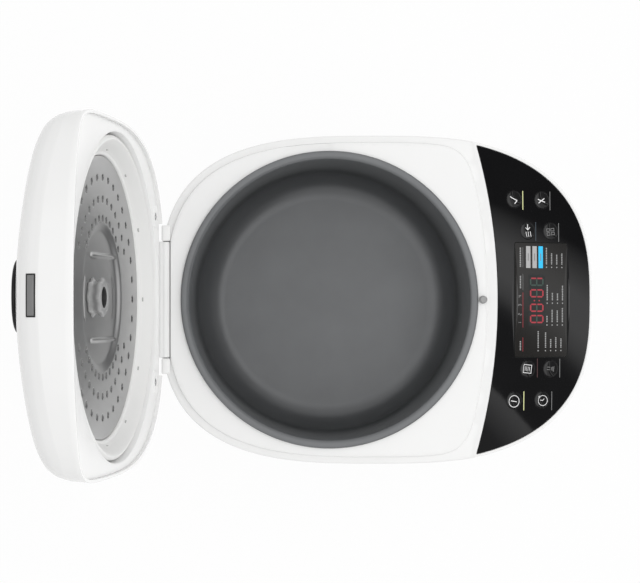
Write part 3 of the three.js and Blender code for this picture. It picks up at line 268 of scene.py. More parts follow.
class Builder:
    """Collects rings of points, the skins between them and the flat fills of loops."""

    def __init__(self):
        self.points, self.faces = [], []

    def ring3(self, points):
        start = len(self.points)
        self.points.extend(tuple(p) for p in points)
        return list(range(start, len(self.points)))

    def ring(self, loop, z):
        return self.ring3([(p[0], p[1], z(p[0], p[1]) if callable(z) else z) for p in loop])

    def rings(self, outline, rows, base=0):
        """A ring for each (size, height) of an outline; a height is a function or counts from base."""
        return [self.ring(outline(size), z if callable(z) else base + z) for size, z in rows]

    def bridge(self, *rings, looped=False):
        for a, b in zip(rings, [*rings[1:], rings[0]] if looped else rings[1:]):
            for i in range(len(a)):
                j = (i + 1) % len(a)
                self.faces.append((a[i], a[j], b[j], b[i]))

    def tent(self, ring, tip):
        for i in range(len(ring)):
            self.faces.append((ring[i], ring[(i + 1) % len(ring)], tip))

    def fan(self, ring, centre):
        tip, = self.ring3([centre])
        self.tent(ring, tip)

    def fill(self, rings, z=None, spacing=0.0):
        """Triangles over the first ring but not in the others; a spacing puts more points inside."""
        loops = [[self.points[i][:2] for i in ring] for ring in rings]
        index = [i for ring in rings for i in ring]
        coords = [Vector(p) for loop in loops for p in loop]

        def within(x, y):
            return inside(loops[0], x, y) and not any(inside(hole, x, y) for hole in loops[1:])

        edges = []
        for loop in loops:
            start, count = len(edges), len(loop)
            edges += [(start + i, start + (i + 1) % count) for i in range(count)]
        if spacing:
            places = [p for p in staggered(loops[0], coords, spacing) if within(*p)]
            coords += [Vector(p) for p in places]
            index += self.ring(places, z)
        made, _, tris, origin, _, _ = delaunay_2d_cdt(coords, edges, [], 0, 1e-5)
        for tri in tris:
            middle = (sum(made[i].x for i in tri) / 3, sum(made[i].y for i in tri) / 3)
            if within(*middle) and all(origin[i] for i in tri):
                self.faces.append(tuple(index[origin[i][0]] for i in tri))


def staggered(loop, edge_points, spacing):
    """Places on a staggered grid over the loop, none of them close to an edge point."""
    cells = {}
    for p in edge_points:
        cells.setdefault((int(p.x // spacing), int(p.y // spacing)), []).append(p)
    xs, ys = [p[0] for p in loop], [p[1] for p in loop]
    columns = int((max(xs) - min(xs)) / spacing) + 1
    rows = int((max(ys) - min(ys)) / spacing) + 1
    around = [(i, j) for i in (-1, 0, 1) for j in (-1, 0, 1)]
    out = []
    for i in range(columns):
        for j in range(rows):
            x = min(xs) + (i + 0.5 + 0.25 * (j % 2)) * spacing
            y = min(ys) + (j + 0.5) * spacing
            cell_x, cell_y = int(x // spacing), int(y // spacing)
            near = [p for a, b in around for p in cells.get((cell_x + a, cell_y + b), ())]
            if all((p - Vector((x, y))).length >= 0.6 * spacing for p in near):
                out.append((x, y))
    return out


def make(name, b, material=None, lid=False, sharp=35, outward=True):
    mesh = bpy.data.meshes.new(name)
    mesh.from_pydata([(lid_place if lid else base_place)(p) for p in b.points], [], b.faces)
    bm = bmesh.new()
    bm.from_mesh(mesh)
    bmesh.ops.remove_doubles(bm, verts=bm.verts, dist=1e-7)
    if outward:
        bmesh.ops.recalc_face_normals(bm, faces=bm.faces)
    bm.to_mesh(mesh)
    bm.free()
    mesh.polygons.foreach_set("use_smooth", [True] * len(mesh.polygons))
    mesh.set_sharp_from_angle(angle=math.radians(sharp))
    obj = bpy.data.objects.new(name, mesh)
    bpy.context.scene.collection.objects.link(obj)
    if material:
        obj.data.materials.append(material)
    return obj


def carve(obj, cutter):
    """Cuts a closed mesh out of obj for good, then drops the cutter."""
    cut = obj.modifiers.new("cut", "BOOLEAN")
    cut.operation = "DIFFERENCE"
    cut.solver = "EXACT"
    cut.object = cutter
    bpy.context.view_layer.update()
    done = obj.evaluated_get(bpy.context.evaluated_depsgraph_get())
    mesh = bpy.data.meshes.new_from_object(done)
    obj.modifiers.clear()
    materials = list(obj.data.materials)
    obj.data = mesh
    mesh.name = obj.name
    mesh.materials.clear()
    for m in materials:
        mesh.materials.append(m)
    mesh.set_sharp_from_angle(angle=math.radians(35))
    bpy.data.objects.remove(cutter)


def settle(obj, body, slot, *nodes):
    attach(obj, body)
    if nodes:
        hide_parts(*nodes)
    return obj


ON_LID = ("lid", "inner_lid", "steam_cap", "release_button")


def piece(name, b, material, body, slot, *nodes, sharp=35, cuts=()):
    """A visible piece without what its cutters take, on its body and in place of the named solids."""
    lid = body in ON_LID
    obj = make(name, b, material, lid, sharp)
    for cutter in cuts:
        carve(obj, make("cutter", cutter, lid=lid))
    return settle(obj, body, slot, *nodes)


def paint(obj, material, faces):
    """Gives the faces with these numbers another material."""
    obj.data.materials.append(material)
    for number in faces:
        obj.data.polygons[number].material_index = 1


def turned(profile, steps=128, x=0.0, y=0.0, radius=0.0):
    """A turned solid from a closed (radius, height) profile, its corners rounded."""
    if radius:
        open_ended = profile[0][0] == 0 and profile[-1][0] == 0
        profile = rounded(profile, radius, 3, 20, closed=not open_ended)
    b = Builder()
    rows = []
    for r, z in profile:
        rows.append(b.ring3([(x, y, z)]) if abs(r) < 1e-9 else b.ring(circle(r, steps, x, y), z))
    closed = profile[0][0] > 1e-9
    for a, c in zip(rows, rows[1:] + (rows[:1] if closed else [])):
        if len(a) > 1 and len(c) > 1:
            b.bridge(a, c)
        elif len(c) > 1:
            b.tent(c, a[0])
        elif len(a) > 1:
            b.tent(a, c[0])
    return b


def lathe_piece(name, profile, material, body, slot, node, steps=128, radius=0.4, x=0.0, y=0.0, base=0,
                sharp=35):
    b = turned([(r, base + z) for r, z in profile], steps, x, y, radius)
    return piece(name, b, material, body, slot, node, sharp=sharp)


def slab(outer, holes, top, bottom, edge=0.4, steps=3, spacing=0.0):
    """A sheet with holes, rounded along every edge, between two heights or height functions."""
    top_z, low_z = (z if callable(z) else (lambda x, y, level=z: level) for z in (top, bottom))
    b = Builder()
    rounding = quarter(edge, steps)
    ends = []
    for number, loop in enumerate([outer, *holes]):
        side = -1 if number == 0 else 1
        rings = []
        for height, way, order in ((top_z, -1, rounding), (low_z, 1, rounding[::-1])):
            for drop, inset in order:
                rings.append(b.ring(offset(loop, side * inset), lambda x, y: height(x, y) + way * drop))
        b.bridge(*rings)
        ends.append((rings[0], rings[-1]))
    for rims, height in zip(zip(*ends), (top_z, low_z)):
        b.fill(rims, height, spacing)
    return b


def brick(x0, x1, y0, y1, z0, z1, corner=0.5, edge=0.3, steps=3):
    return slab(rectangle(x0, x1, y0, y1, corner, steps), [], z1, z0, edge, 2)


def joined(*builders):
    whole = Builder()
    for b in builders:
        start = len(whole.points)
        whole.points += b.points
        whole.faces += [tuple(i + start for i in f) for f in b.faces]
    return whole


# Materials

def add_node(tree, kind, inputs=None, **settings):
    """Adds a shader node; each input takes a value or the socket that feeds it."""
    node = tree.nodes.new("ShaderNode" + kind)
    for name, value in settings.items():
        setattr(node, name, value)
    for socket, value in (inputs or {}).items():
        if isinstance(value, bpy.types.NodeSocket):
            tree.links.new(value, node.inputs[socket])
        else:
            node.inputs[socket].default_value = value
    return node


def material(name, colour, rough, metal=0.0, coat=0.0, coat_rough=0.05, grain=0.0, grain_size=1.0,
             mottle=0.0, rough_spread=0.05, emission=None, strength=0.0, ior=1.5, sheen=0.0):
    """A shader with uneven gloss, faint mottling and a fine grain; one number for a colour is a grey."""
    colour, emission = ((c,) * 3 if isinstance(c, float) else c for c in (colour, emission))
    m = bpy.data.materials.new(name)
    m.use_nodes = True
    tree = m.node_tree
    shader = tree.nodes["Principled BSDF"]
    even = {"Metallic": metal, "IOR": ior, "Coat Weight": coat, "Coat Roughness": coat_rough}
    even["Sheen Weight"] = sheen
    if emission:
        even.update({"Emission Color": (*emission, 1), "Emission Strength": strength})
    for socket, value in even.items():
        shader.inputs[socket].default_value = value
    place = add_node(tree, "TexCoord").outputs["Object"]
    fine = add_node(tree, "TexNoise", {"Vector": place, "Scale": 1000 / grain_size, "Detail": 3})
    broad = add_node(tree, "TexNoise", {"Vector": place, "Scale": 28, "Detail": 4})
    tint = add_node(tree, "ValToRGB", {"Fac": broad.outputs["Fac"]})
    for element, at, share in zip(tint.color_ramp.elements, (0.3, 0.7), (1 - mottle, 1 + mottle)):
        element.position = at
        element.color = (*[min(1, c * share) for c in colour], 1)
    tree.links.new(tint.outputs["Color"], shader.inputs["Base Color"])
    gloss = add_node(tree, "MapRange", {
        "Value": fine.outputs["Fac"], "To Min": max(0.0, rough - rough_spread),
        "To Max": min(1.0, rough + rough_spread)})
    tree.links.new(gloss.outputs["Result"], shader.inputs["Roughness"])
    if grain:
        bump = add_node(tree, "Bump", {
            "Strength": grain, "Distance": 0.0002, "Height": fine.outputs["Fac"]})
        tree.links.new(bump.outputs["Normal"], shader.inputs["Normal"])
    return m


WHITE = material("white_gloss", (0.85, 0.85, 0.845), 0.24, coat=0.25, grain=0.02, grain_size=1.6, mottle=0.006)
WHITE_LINER = material("white_satin", (0.86, 0.86, 0.855), 0.34, grain=0.03, grain_size=0.9, mottle=0.006)
BLACK = material("black_gloss", (0.005, 0.005, 0.0055), 0.025, grain=0.001, grain_size=3, mottle=0.1,
                 rough_spread=0.01, ior=1.56)
TRIM_BLACK = material("trim_black", (0.007, 0.007, 0.0075), 0.16, grain=0.01, grain_size=2, mottle=0.1,
                      ior=1.28)
SCREEN = material("display_tint", (0.016, 0.015, 0.014), 0.08, mottle=0.05, rough_spread=0.02)
# Black moulding of the inlet and vent cap; also painted shade on the walls of the hub's bore
BLACK_MATT_AND_SHADE = material("black_moulded_and_bore_shade", (0.022, 0.022, 0.023), 0.5, grain=0.3, grain_size=0.5, mottle=0.08)
BUTTON_GREY = material("button_grey", 0.18, 0.35, mottle=0.02)
HUB_GREY = material("hub_grey", 0.32, 0.32, coat=0.3, mottle=0.02)
COATING = material("bowl_coating", (0.135, 0.14, 0.145), 0.36, metal=0.25, coat=0.15, coat_rough=0.25,
                   grain=0.12, grain_size=0.45, mottle=0.05, rough_spread=0.08)
ALUMINIUM = material("aluminium", (0.46, 0.465, 0.47), 0.34, metal=0.92, grain=0.05, grain_size=0.7,
                     mottle=0.04, rough_spread=0.07)
DISC_METAL = material("disc_metal", 0.5, 0.34, metal=0.9, grain=0.015, grain_size=0.9, mottle=0.02,
                      rough_spread=0.04)
# Darker metal painted into the inner lid's dents as painted shade
DENT_SHADE = material("dent_painted_shade", 0.2, 0.45, metal=0.9, mottle=0.02)
CAST = material("cast_aluminium", 0.36, 0.58, metal=0.8, grain=0.5, grain_size=1.2, mottle=0.12)
STEEL = material("steel", (0.5, 0.505, 0.51), 0.26, metal=1.0, grain=0.05, grain_size=0.4, mottle=0.05)
FOIL = material("heater_foil", (0.42, 0.4, 0.36), 0.42, metal=0.8, grain=0.7, grain_size=4, mottle=0.15)
# Darker silicone for the seal's notch marks: painted shade standing for small notches
NOTCH_SHADE = material("notch_painted_shade", (0.5, 0.5, 0.49), 0.6, mottle=0.02)
SILICONE = material("silicone", (0.78, 0.78, 0.77), 0.5, grain=0.08, grain_size=0.5, mottle=0.01, sheen=0.1)
RUBBER = material("foot_rubber", 0.025, 0.8, grain=0.4, grain_size=0.4, mottle=0.12)
BOARD = material("board_green", (0.02, 0.09, 0.045), 0.45, grain=0.2, grain_size=0.8, mottle=0.15)
# Near-black painted shadow, for the shade in the gap round the release button
SHADOW = material("painted_recess_shadow", 0.012, 0.7, mottle=0.1)
ICON = material("icon_white", 0.62, 0.4, emission=0.8, strength=0.35)
LIGHT_GREEN = material("light_green", (0.14, 0.15, 0.07), 0.3, emission=(0.80, 0.82, 0.42), strength=0.8)
LIGHT_WHITE = material("light_white", 0.1, 0.3, emission=0.6, strength=0.2)
LIGHT_BLUE = material("light_blue", (0.04, 0.05, 0.06), 0.3, emission=(0.2, 0.28, 0.36), strength=0.12)
LIGHT_RED = material("light_red", (0.06, 0.03, 0.03), 0.3, emission=(0.3, 0.1, 0.12), strength=0.12)
DIGIT_RED = material("digit_red", (0.12, 0.02, 0.025), 0.3, emission=(0.80, 0.07, 0.10), strength=0.4)
DIGIT_OFF = material("digit_off", (0.05, 0.085, 0.07), 0.3, mottle=0.03)
TEXT_GREY = material("text_grey", 0.22, 0.4, emission=0.6, strength=0.3)
DIGIT_FIELD = material("digit_field", (0.022, 0.024, 0.024), 0.2, mottle=0.05)
BAR_GREY = material("bar_grey", 0.3, 0.35, emission=0.4, strength=0.35)
BAR_CYAN = material("bar_cyan", (0.01, 0.29, 0.5), 0.35, emission=(0.02, 0.37, 0.62), strength=0.8)

# Body wall

# Height and inset of the wall, from the foot to the straight part
SIDE_PROFILE = chaikin([
    (BODY_FOOT_Z, 12.0), (8.2, 9.4), (12.9, 7.44), (32.1, 4.56), (95.2, 2.16), (182.7, 0.24),
])
SKIRT_DROP = 8.5


def side_inset(z):
    for (z0, i0), (z1, i1) in zip(SIDE_PROFILE, SIDE_PROFILE[1:]):
        if z <= z1:
            return i0 + (i1 - i0) * (z - z0) / max(1e-6, z1 - z0)
    return SIDE_PROFILE[-1][1]


def side_point(angle, z, inward=0.0):
    return (*polar(body_radius(angle, side_inset(z) + inward), angle, 0, BODY_MID_Y), z)


def make_body():
    b = Builder()
    lip, even_z, near_top_z = 0.7, 140, 180
    angles = round_angles()
    tops = [slope_z(*side_point(a, near_top_z)[:2], SKIRT_DROP + GAP) for a in angles]

    def around(height, inward=0.0):
        return b.ring3([side_point(a, height(top), inward) for a, top in zip(angles, tops)])

    rings = [around(lambda top: z) for z, _ in SIDE_PROFILE[:-1] if z < even_z]
    rings += [around(lambda top: even_z + (top - lip - even_z) * share) for share in (0.25, 0.5, 0.75)]
    rings += [around(lambda top: top - drop, inward) for inward, drop in quarter(lip, 4)]
    rings.append(around(lambda top: top, WALL))
    rings += [around(lambda top: z, WALL) for z in (60, 12, BODY_FOOT_Z)]
    b.bridge(*rings, looped=True)
    inlet_hole = brick(-13.3, 13.3, 118, 142, 15.7, 35.3, 1.0, 0.3)
    piece("body_shell", b, WHITE, "base", "white_shell", "outer_body", cuts=[inlet_hole])


make_body()

# Top moulding

NOTCH = (120.9, -1.0, 38.0, 1.2)
LUG_NEAR, LUG_FAR = 47.3, 60.0


def plateau_z(x, y):
    """Height of the seat inside the lid, with a shallow notch for a finger beside the bowl."""
    edge_x, y0, y1, depth = NOTCH
    soft = 0.8
    inward = smooth_step(edge_x - soft, edge_x + soft, x)
    along = smooth_step(y0 - soft, y0 + soft, y) * (1 - smooth_step(y1 - soft, y1 + soft, y))
    return PLATEAU_Z - depth * inward * along


def make_deck():
    b = Builder()
    edge, recess_drop, under_drop, margin = 1.3, 2.1, 3.4, 4.0
    foot = ((WALL, 0), (0.5, 0), (0.15, 0.15), (0, 0.5))
    skirt = b.rings(body_plan, [(inset, below(SKIRT_DROP - rise)) for inset, rise in foot])
    skirt += b.rings(body_plan, [(inset, below(drop)) for inset, drop in quarter(edge, 5)])
    b.bridge(*skirt)
    seat = b.rings(seat_plan, ((-0.9, 0.0), (-0.35, 0.12), (0.0, 0.6)), LEDGE_Z)
    for inset, drop in ((0.0, 0.75), (0.2, 0.22), (0.75, 0.0)):
        seat.append(b.ring(seat_plan(inset), lambda x, y: plateau_z(x, y) - drop))
    b.bridge(*seat)
    # Recess for the panel, and the opening in its floor
    wall = panel_plan(-0.25, PANEL_R - 0.25)
    rows = ((0.35, 0), (0.1, 0.1), (0, 0.35), (0, recess_drop))
    recess = b.rings(lambda out: offset(wall, out), [(out, below(drop)) for out, drop in rows])
    b.bridge(*recess)
    b.fill([skirt[-1], seat[0], recess[0]], slope_z, 5.0)
    opening = panel_plan(margin, PANEL_R + margin)
    window = [b.ring(opening, below(drop)) for drop in (recess_drop, under_drop)]
    b.bridge(*window)
    b.fill([recess[-1], window[0]])
    # Opening for the bowl
    hole = b.rings(circle, ((HOLE_R + 0.8, 0.0), (HOLE_R + 0.25, -0.2), (HOLE_R, -0.7)), PLATEAU_Z)
    hole.append(b.ring(circle(HOLE_R), LEDGE_Z - under_drop))
    b.bridge(*hole)
    b.fill([seat[-1], hole[0]], plateau_z, 2.4)
    under = b.ring(body_plan(WALL), below(under_drop))
    b.fill([under, hole[-1], window[-1]])
    b.bridge(under, skirt[0])
    trough = brick(-LUG_NEAR, LUG_NEAR, 128.2, 150, 185.8, 205, 0.8, 0.3)
    piece("deck", b, WHITE, "base", "white_shell", "top_deck", sharp=40, cuts=[trough])
    # Lugs at the trough's ends and its floor
    rear = body_radius(math.pi / 2, 0) + BODY_MID_Y
    lugs = [
        slab(rectangle(x0, x1, 128.5, rear - 1.6, 1.4), [], 194.9, 184.2, 1.2, 4)
        for x0, x1 in ((-LUG_FAR, -LUG_NEAR), (LUG_NEAR, LUG_FAR))
    ]
    floor = slab(rectangle(-47.4, 47.4, 125.7, rear - 0.9, 0.8), [], 185.8, 184.0)
    piece("hinge_lugs", joined(*lugs, floor), WHITE, "base", "white_shell", sharp=40)


make_deck()

# Panel, window and keys

# Middle of each key
KEYS = {
    "key_confirm": (81.8, -150.5), "key_cancel": (81.8, -174.5),
    "key_memory": (56.3, -162.0), "key_manual": (56.3, -181.9),
    "key_power": (-81.8, -150.5), "key_timer": (-81.8, -174.5),
    "key_menu": (-56.3, -162.0), "key_keep_warm": (-56.3, -181.9),
}
KEY_R, KEY_GAP, DISH_R, DISH_DEPTH = 6.9, 0.15, 6.4, 0.85
WINDOW = (-46.8, 46.8, -196.4, -150.7)


def slope_matrix(x, y):
    """Axes of a place on the sloping front: X along the arc, Y towards the lid, Z out of the surface."""
    outward = math.atan2(x, ARC_Y - y)
    turn = Matrix.Rotation(outward, 3, "Z") @ Matrix.Rotation(SLOPE, 3, "X")
    spot = Vector((x, y, LEDGE_Z - (math.hypot(x, y - ARC_Y) - SLOPE_R) * math.tan(SLOPE)))
    return turn, spot


def on_slope(b, x, y):
    turn, spot = slope_matrix(x, y)
    b.points = [tuple(turn @ Vector(p) + spot) for p in b.points]
    return b


def key_hole(x, y, radius):
    turn, spot = slope_matrix(x, y)
    return [tuple(turn @ Vector((*p, 0)) + spot)[:2] for p in circle(radius, 48)]


def true_normals(obj, nudge=0.5):
    """Shades the faces on the slope with the slope's own normals, so that reflections run smoothly."""
    mesh = obj.data
    exact = []
    for vertex in mesh.vertices:
        x, y = vertex.co.x / MM, vertex.co.y / MM - SHIFT_Y
        lean_x = (slope_z(x + nudge, y) - slope_z(x - nudge, y)) / (2 * nudge)
        lean_y = (slope_z(x, y + nudge) - slope_z(x, y - nudge)) / (2 * nudge)
        exact.append(Vector((-lean_x, -lean_y, 1)).normalized())
    normals = [corner.vector.copy() for corner in mesh.corner_normals]
    for face in mesh.polygons:
        corners = range(face.loop_start, face.loop_start + face.loop_total)
        if all(face.normal.angle(exact[mesh.loops[i].vertex_index]) < math.radians(12) for i in corners):
            for i in corners:
                normals[i] = exact[mesh.loops[i].vertex_index]
    mesh.normals_split_custom_set(normals)


def make_panel():
    holes = [key_hole(x, y, KEY_R + KEY_GAP) for x, y in KEYS.values()] + [rectangle(*WINDOW, 2.0, 6)]
    b = slab(panel_plan(0.0, PANEL_R), holes, below(-PROUD), below(1.8), 0.3, 3, 5.0)
    true_normals(piece("fascia", b, BLACK, "base", "black_gloss", "control_panel", sharp=12))
    x0, x1, y0, y1 = WINDOW
    gap = 0.25
    pane = rectangle(x0 + gap, x1 - gap, y0 + gap, y1 - gap, 1.8, 6)
    b = slab(pane, [], below(-PROUD), below(1.4), 0.15, 2, 5.0)
    true_normals(piece("display_glass", b, SCREEN, "base", "display_tint", "display_window", sharp=12))


def dish_z(r):
    return PROUD - DISH_DEPTH * (1 - min(1.0, r / DISH_R) ** 2) if r < DISH_R else PROUD


def make_keys():
    profile = [(DISH_R * k / 12, dish_z(DISH_R * k / 12)) for k in range(13)]
    profile += [(KEY_R - 0.2, PROUD - 0.06), (KEY_R, PROUD - 0.3), (KEY_R, -2.3), (8.0, -2.3), (8.0, -3.1),
                (2.2, -3.1), (2.2, -7.6), (0, -7.6)]
    for name, (x, y) in KEYS.items():
        body = name + "_cap"
        piece(body, on_slope(turned(profile, 64), x, y), BLACK, body, "black_gloss", name, sharp=12)


make_panel()
make_keys()


# Marks on the keys: thin strokes that follow the dish

def stroke(points, width, closed=False):
    """A flat band along a polyline, as quads in the XY plane."""
    b = Builder()
    count = len(points)
    for i in range(count):
        p = Vector(points[i])
        a = Vector(points[i - 1]) if i or closed else p
        c = Vector(points[(i + 1) % count]) if i < count - 1 or closed else p
        d = ((p - a).normalized() + (c - p).normalized()).normalized()
        n = Vector((-d.y, d.x)) * width / 2
        b.points += [(*(p + n), 0), (*(p - n), 0)]
    for i in range(count if closed else count - 1):
        j = (i + 1) % count
        b.faces.append((2 * i, 2 * i + 1, 2 * j + 1, 2 * j))
    return b


def lines(width, *ends):
    """Straight strokes, each from (x, y) to (x, y), in short parts that can follow the dish."""
    parts = 6
    return joined(*[
        stroke([(x0 + (x1 - x0) * i / parts, y0 + (y1 - y0) * i / parts) for i in range(parts + 1)], width)
        for x0, y0, x1, y1 in ends
    ])


def hoop(x, y, radius, width, parts=28):
    return stroke(circle(radius, parts, x, y), width, closed=True)


def box_outline(x0, y0, x1, y1, width=0.4):
    h = width / 2
    return lines(width, (x0 - h, y0, x1 + h, y0), (x0 - h, y1, x1 + h, y1), (x0, y0, x0, y1), (x1, y0, x1, y1))


ICON_SCALE, ICON_LIFT = 1.15, 0.04
# Strokes of each icon, and where its middle lies on the key
ICONS = {
    "key_confirm": (lines(0.6, (-2.6, -0.2, -0.6, -2.6), (-0.6, -2.6, 2.9, 2.6)), (-0.6, 0.1)),
    "key_cancel": (lines(0.6, (-1.4, -2.7, 1.4, 2.7), (-1.4, 2.7, 1.4, -2.7)), (-0.4, 0.1)),
    "key_memory": (joined(
        lines(0.4, *((-4.4, y, -0.6, y) for y in (1.7, 0, -1.7))),
        lines(0.5, (0.6, 0, 4.6, 0), (0.6, 0, 2.4, 1.7), (0.6, 0, 2.4, -1.7))), (0.1, -0.7)),
    "key_manual": (joined(*(
        box_outline(x, y, x + 1.8, y + 2.4) for y in (0.6, -3.0) for x in (-2.3, 0.5))), (-0.3, -0.2)),
    "key_power": (joined(hoop(0, 0, 4.1, 0.45), lines(0.55, (0, -2.4, 0, 2.4))), (-0.8, -0.3)),
    "key_timer": (joined(
        hoop(0, 0, 3.6, 0.38), hoop(2.3, 3.4, 0.5, 0.35, 10),
        lines(0.45, (0, 0, 0, 2.0), (0, 0, 1.4, -0.9))), (-0.5, -1.3)),
    "key_menu": (joined(
        box_outline(-2.9, -3.2, 2.9, 3.2),
        lines(0.3, *((-1.6, y, 1.6, y) for y in (-1.8, -0.6, 0.6, 1.8)))), (0.0, 0.0)),
    "key_keep_warm": (joined(
        lines(0.45, (-1.9, -2.9, 1.9, -2.9)),
        lines(0.4, (-1.5, -1.9, 1.5, -1.9), (-1.0, -1.0, 1.0, -1.0), (-0.9, 0.0, -0.9, 2.6),
              (0.9, 0.0, 0.9, 2.6))), (0.0, 0.0)),
}
DIM_ICONS = ("key_manual", "key_keep_warm")


def flat_piece(name, b, material, body, slot):
    """A mark without thickness, all its faces upwards."""
    obj = make(name, b, material, outward=False)
    bm = bmesh.new()
    bm.from_mesh(obj.data)
    for f in bm.faces:
        if f.normal.z < 0:
            f.normal_flip()
    bm.to_mesh(obj.data)
    bm.free()
    settle(obj, body, slot)


for name, (b, (dx, dy)) in ICONS.items():
    spots = [(p[0] * ICON_SCALE + dx, p[1] * ICON_SCALE + dy) for p in b.points]
    b.points = [(px, py, dish_z(math.hypot(px, py)) + ICON_LIFT) for px, py in spots]
    shade = LIGHT_WHITE if name in DIM_ICONS else ICON
    flat_piece(name + "_mark", on_slope(b, *KEYS[name]), shade, name + "_cap", "black_gloss")


def patch(x0, x1, y0, y1, parts=4):
    b = Builder()
    across = [x0 + (x1 - x0) * i / parts for i in range(parts + 1)]
    b.points = [(x, y, 0) for y in (y0, y1) for x in across]
    b.faces = [(i, i + 1, parts + 2 + i, parts + 1 + i) for i in range(parts)]
    return b


def lay(name, b, material, lift=0.04):
    """Lays flat work on the sloping surface."""
    b.points = [(p[0], p[1], slope_z(p[0], p[1], -PROUD) + lift + p[2]) for p in b.points]
    flat_piece(name, b, material, "base", "display_tint")


# Light bars in front of the keys: middle, half the thickness and material of each
HALF_LENGTH, THIN, THICK = 7.7, 0.26, 0.34
LIGHTS = {
    "key_confirm": (81.2, -158.0, THICK, LIGHT_GREEN), "key_cancel": (81.4, -181.6, THIN, LIGHT_WHITE),
    "key_memory": (56.0, -169.0, THIN, LIGHT_BLUE), "key_manual": (55.6, -189.0, THIN, LIGHT_WHITE),
    "key_menu": (-55.6, -170.4, THIN, LIGHT_RED), "key_keep_warm": (-56.0, -190.0, THIN, LIGHT_WHITE),
    "key_power": (-82.4, -158.9, THICK, LIGHT_GREEN), "key_timer": (-82.8, -183.2, THIN, LIGHT_WHITE),
}
for name, (x, y, half, shade) in LIGHTS.items():
    lay(name + "_light", patch(x - HALF_LENGTH, x + HALF_LENGTH, y - half, y + half, 6), shade)

# Lit segments of each digit, lettered clockwise from the top with g in the middle
SEGMENTS = {"0": "abcdef", "1": "bc", "2": "abged", "3": "abgcd", "4": "fgbc"}


def bar_shape(x0, y0, x1, y1, width):
    """A display segment: a thin bar with pointed ends."""
    a, e = Vector((x0, y0)), Vector((x1, y1))
    d = (e - a).normalized()
    n = Vector((-d.y, d.x)) * width / 2
    t = d * width / 2
    b = Builder()
    b.points = [(*p, 0) for p in (a, a + t + n, e - t + n, e, e - t - n, a + t - n)]
    b.faces = [(0, 1, 2, 3), (0, 3, 4, 5)]
    return b


def digit(character, x, y, width, height, weight):
    """The lit and the dark segments of one digit."""
    gap = 0.22
    right, middle, top = x + width, y + height / 2, y + height
    places = {
        "a": (x + gap, top, right - gap, top), "g": (x + gap, middle, right - gap, middle),
        "d": (x + gap, y, right - gap, y), "f": (x, middle + gap, x, top - gap),
        "b": (right, middle + gap, right, top - gap), "e": (x, y + gap, x, middle - gap),
        "c": (right, y + gap, right, middle - gap),
    }
    lit, dark = [], []
    for key, ends in places.items():
        (lit if key in SEGMENTS[character] else dark).append(bar_shape(*ends, weight))
    return lit, dark


def square_dots(places, size):
    half = size / 2
    return joined(*[patch(x - half, x + half, y - half, y + half, 1) for x, y in places])


def dashes(x0, x1, y, half, length=0.9, gap=0.5):
    """A row of short marks that stands for a line of small print."""
    count = max(1, round((x1 - x0 + gap) / (length + gap)))
    step = (x1 - x0 + gap) / count
    return [patch(x0 + i * step, x0 + (i + 1) * step - gap, y - half, y + half, 1) for i in range(count)]


def make_display():
    lit, dark = [], []
    for character, x in zip("0001", (-18.4, -9.2, 2.6, 12.0)):
        on, off = digit(character, x, -175.0, 5.6, 10.6, 1.2)
        lit += on
        dark += off
    lit.append(square_dots([(-0.6, -167.6), (-0.6, -171.8)], 1.1))
    lay("digit_field", patch(-21.0, 20.6, -176.9, -162.6), DIGIT_FIELD, 0.02)
    lay("digits_off", joined(*dark), DIGIT_OFF, 0.035)
    lay("digits_on", joined(*lit), DIGIT_RED, 0.045)
    for number, (y, shade) in enumerate(((-162.4, BAR_GREY), (-167.9, BAR_GREY), (-173.2, BAR_CYAN)), 1):
        lay("mode_bar_%d" % number, patch(26.0, 43.9, y - 1.9, y + 1.9), shade)
        lay("mode_bar_%d_mark" % number, patch(32.0, 38.0, y - 0.35, y + 0.35), LIGHT_WHITE, 0.055)
    # Header: four step numbers over a rule
    numbers = []
    for character, x in zip("1234", (-19.6, -12.4, -5.0, 2.3)):
        numbers += digit(character, x, -156.4, 1.3, 2.6, 0.42)[0]
    lay("step_numbers", joined(*numbers), TEXT_GREY)
    for name, spans, top, shade in (("header_rule_red", ((-42.0, -30.6), (-22.6, 6.0)), -157.55, DIGIT_RED),
                                    ("header_rule", ((8.0, 21.0), (26.5, 43.0)), -157.6, LIGHT_WHITE)):
        lay(name, joined(*[patch(x0, x1, -157.9, top, 3) for x0, x1 in spans]), shade)
    words = []
    for x0, x1 in ((-41.0, -33.6), (9.5, 19.5), (27.0, 42.5)):
        words += dashes(x0, x1, -155.6, 0.55)
    # Program list: a small square and a bar for each entry, by columns of (y, length)
    columns = (
        (-41.5, ((-171.0, 13.5), (-177.4, 12.5), (-181.9, 7.0), (-186.4, 8.5), (-190.9, 7.5))),
        (-20.5, ((-178.6, 5.0), (-183.1, 10.0), (-187.6, 9.5), (-192.1, 11.5))),
        (-2.6, ((-178.8, 12.5), (-183.3, 6.0), (-187.8, 5.5), (-192.2, 12.0))),
        (26.8, ((-178.2, 13.5), (-182.7, 9.0), (-187.2, 8.0), (-191.7, 9.0))),
    )
    dots = []
    for x, rows in columns:
        for y, length in rows:
            dots.append((x, y))
            words += dashes(x + 2.4, x + 2.4 + length, y, 0.5)
    lay("list_bars", joined(*words), TEXT_GREY)
    lay("list_marks", square_dots(dots, 0.9), TEXT_GREY)


make_display()

# Striker, feet, underside and inlet

lathe_piece("striker_post", [(0, 0), (3.2, 0), (3.2, 0.9), (1.4, 1.3), (1.4, 5.0), (2.2, 5.3), (2.9, 5.6),
                             (2.9, 6.5), (2.3, 7.1), (0, 7.3)],
            CAST, "base", "steel", "striker", 48, 0.3, y=LID_FRONT_Y + 2.2 + 5.2, base=PLATEAU_Z + GAP)


def centre_of(node):
    lo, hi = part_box(node)
    return ((lo.x + hi.x) / 2 / MM, (lo.y + hi.y) / 2 / MM - SHIFT_Y)


SCREWS = [centre_of("base_screw_%d" % number) for number in (1, 2, 3, 4)]


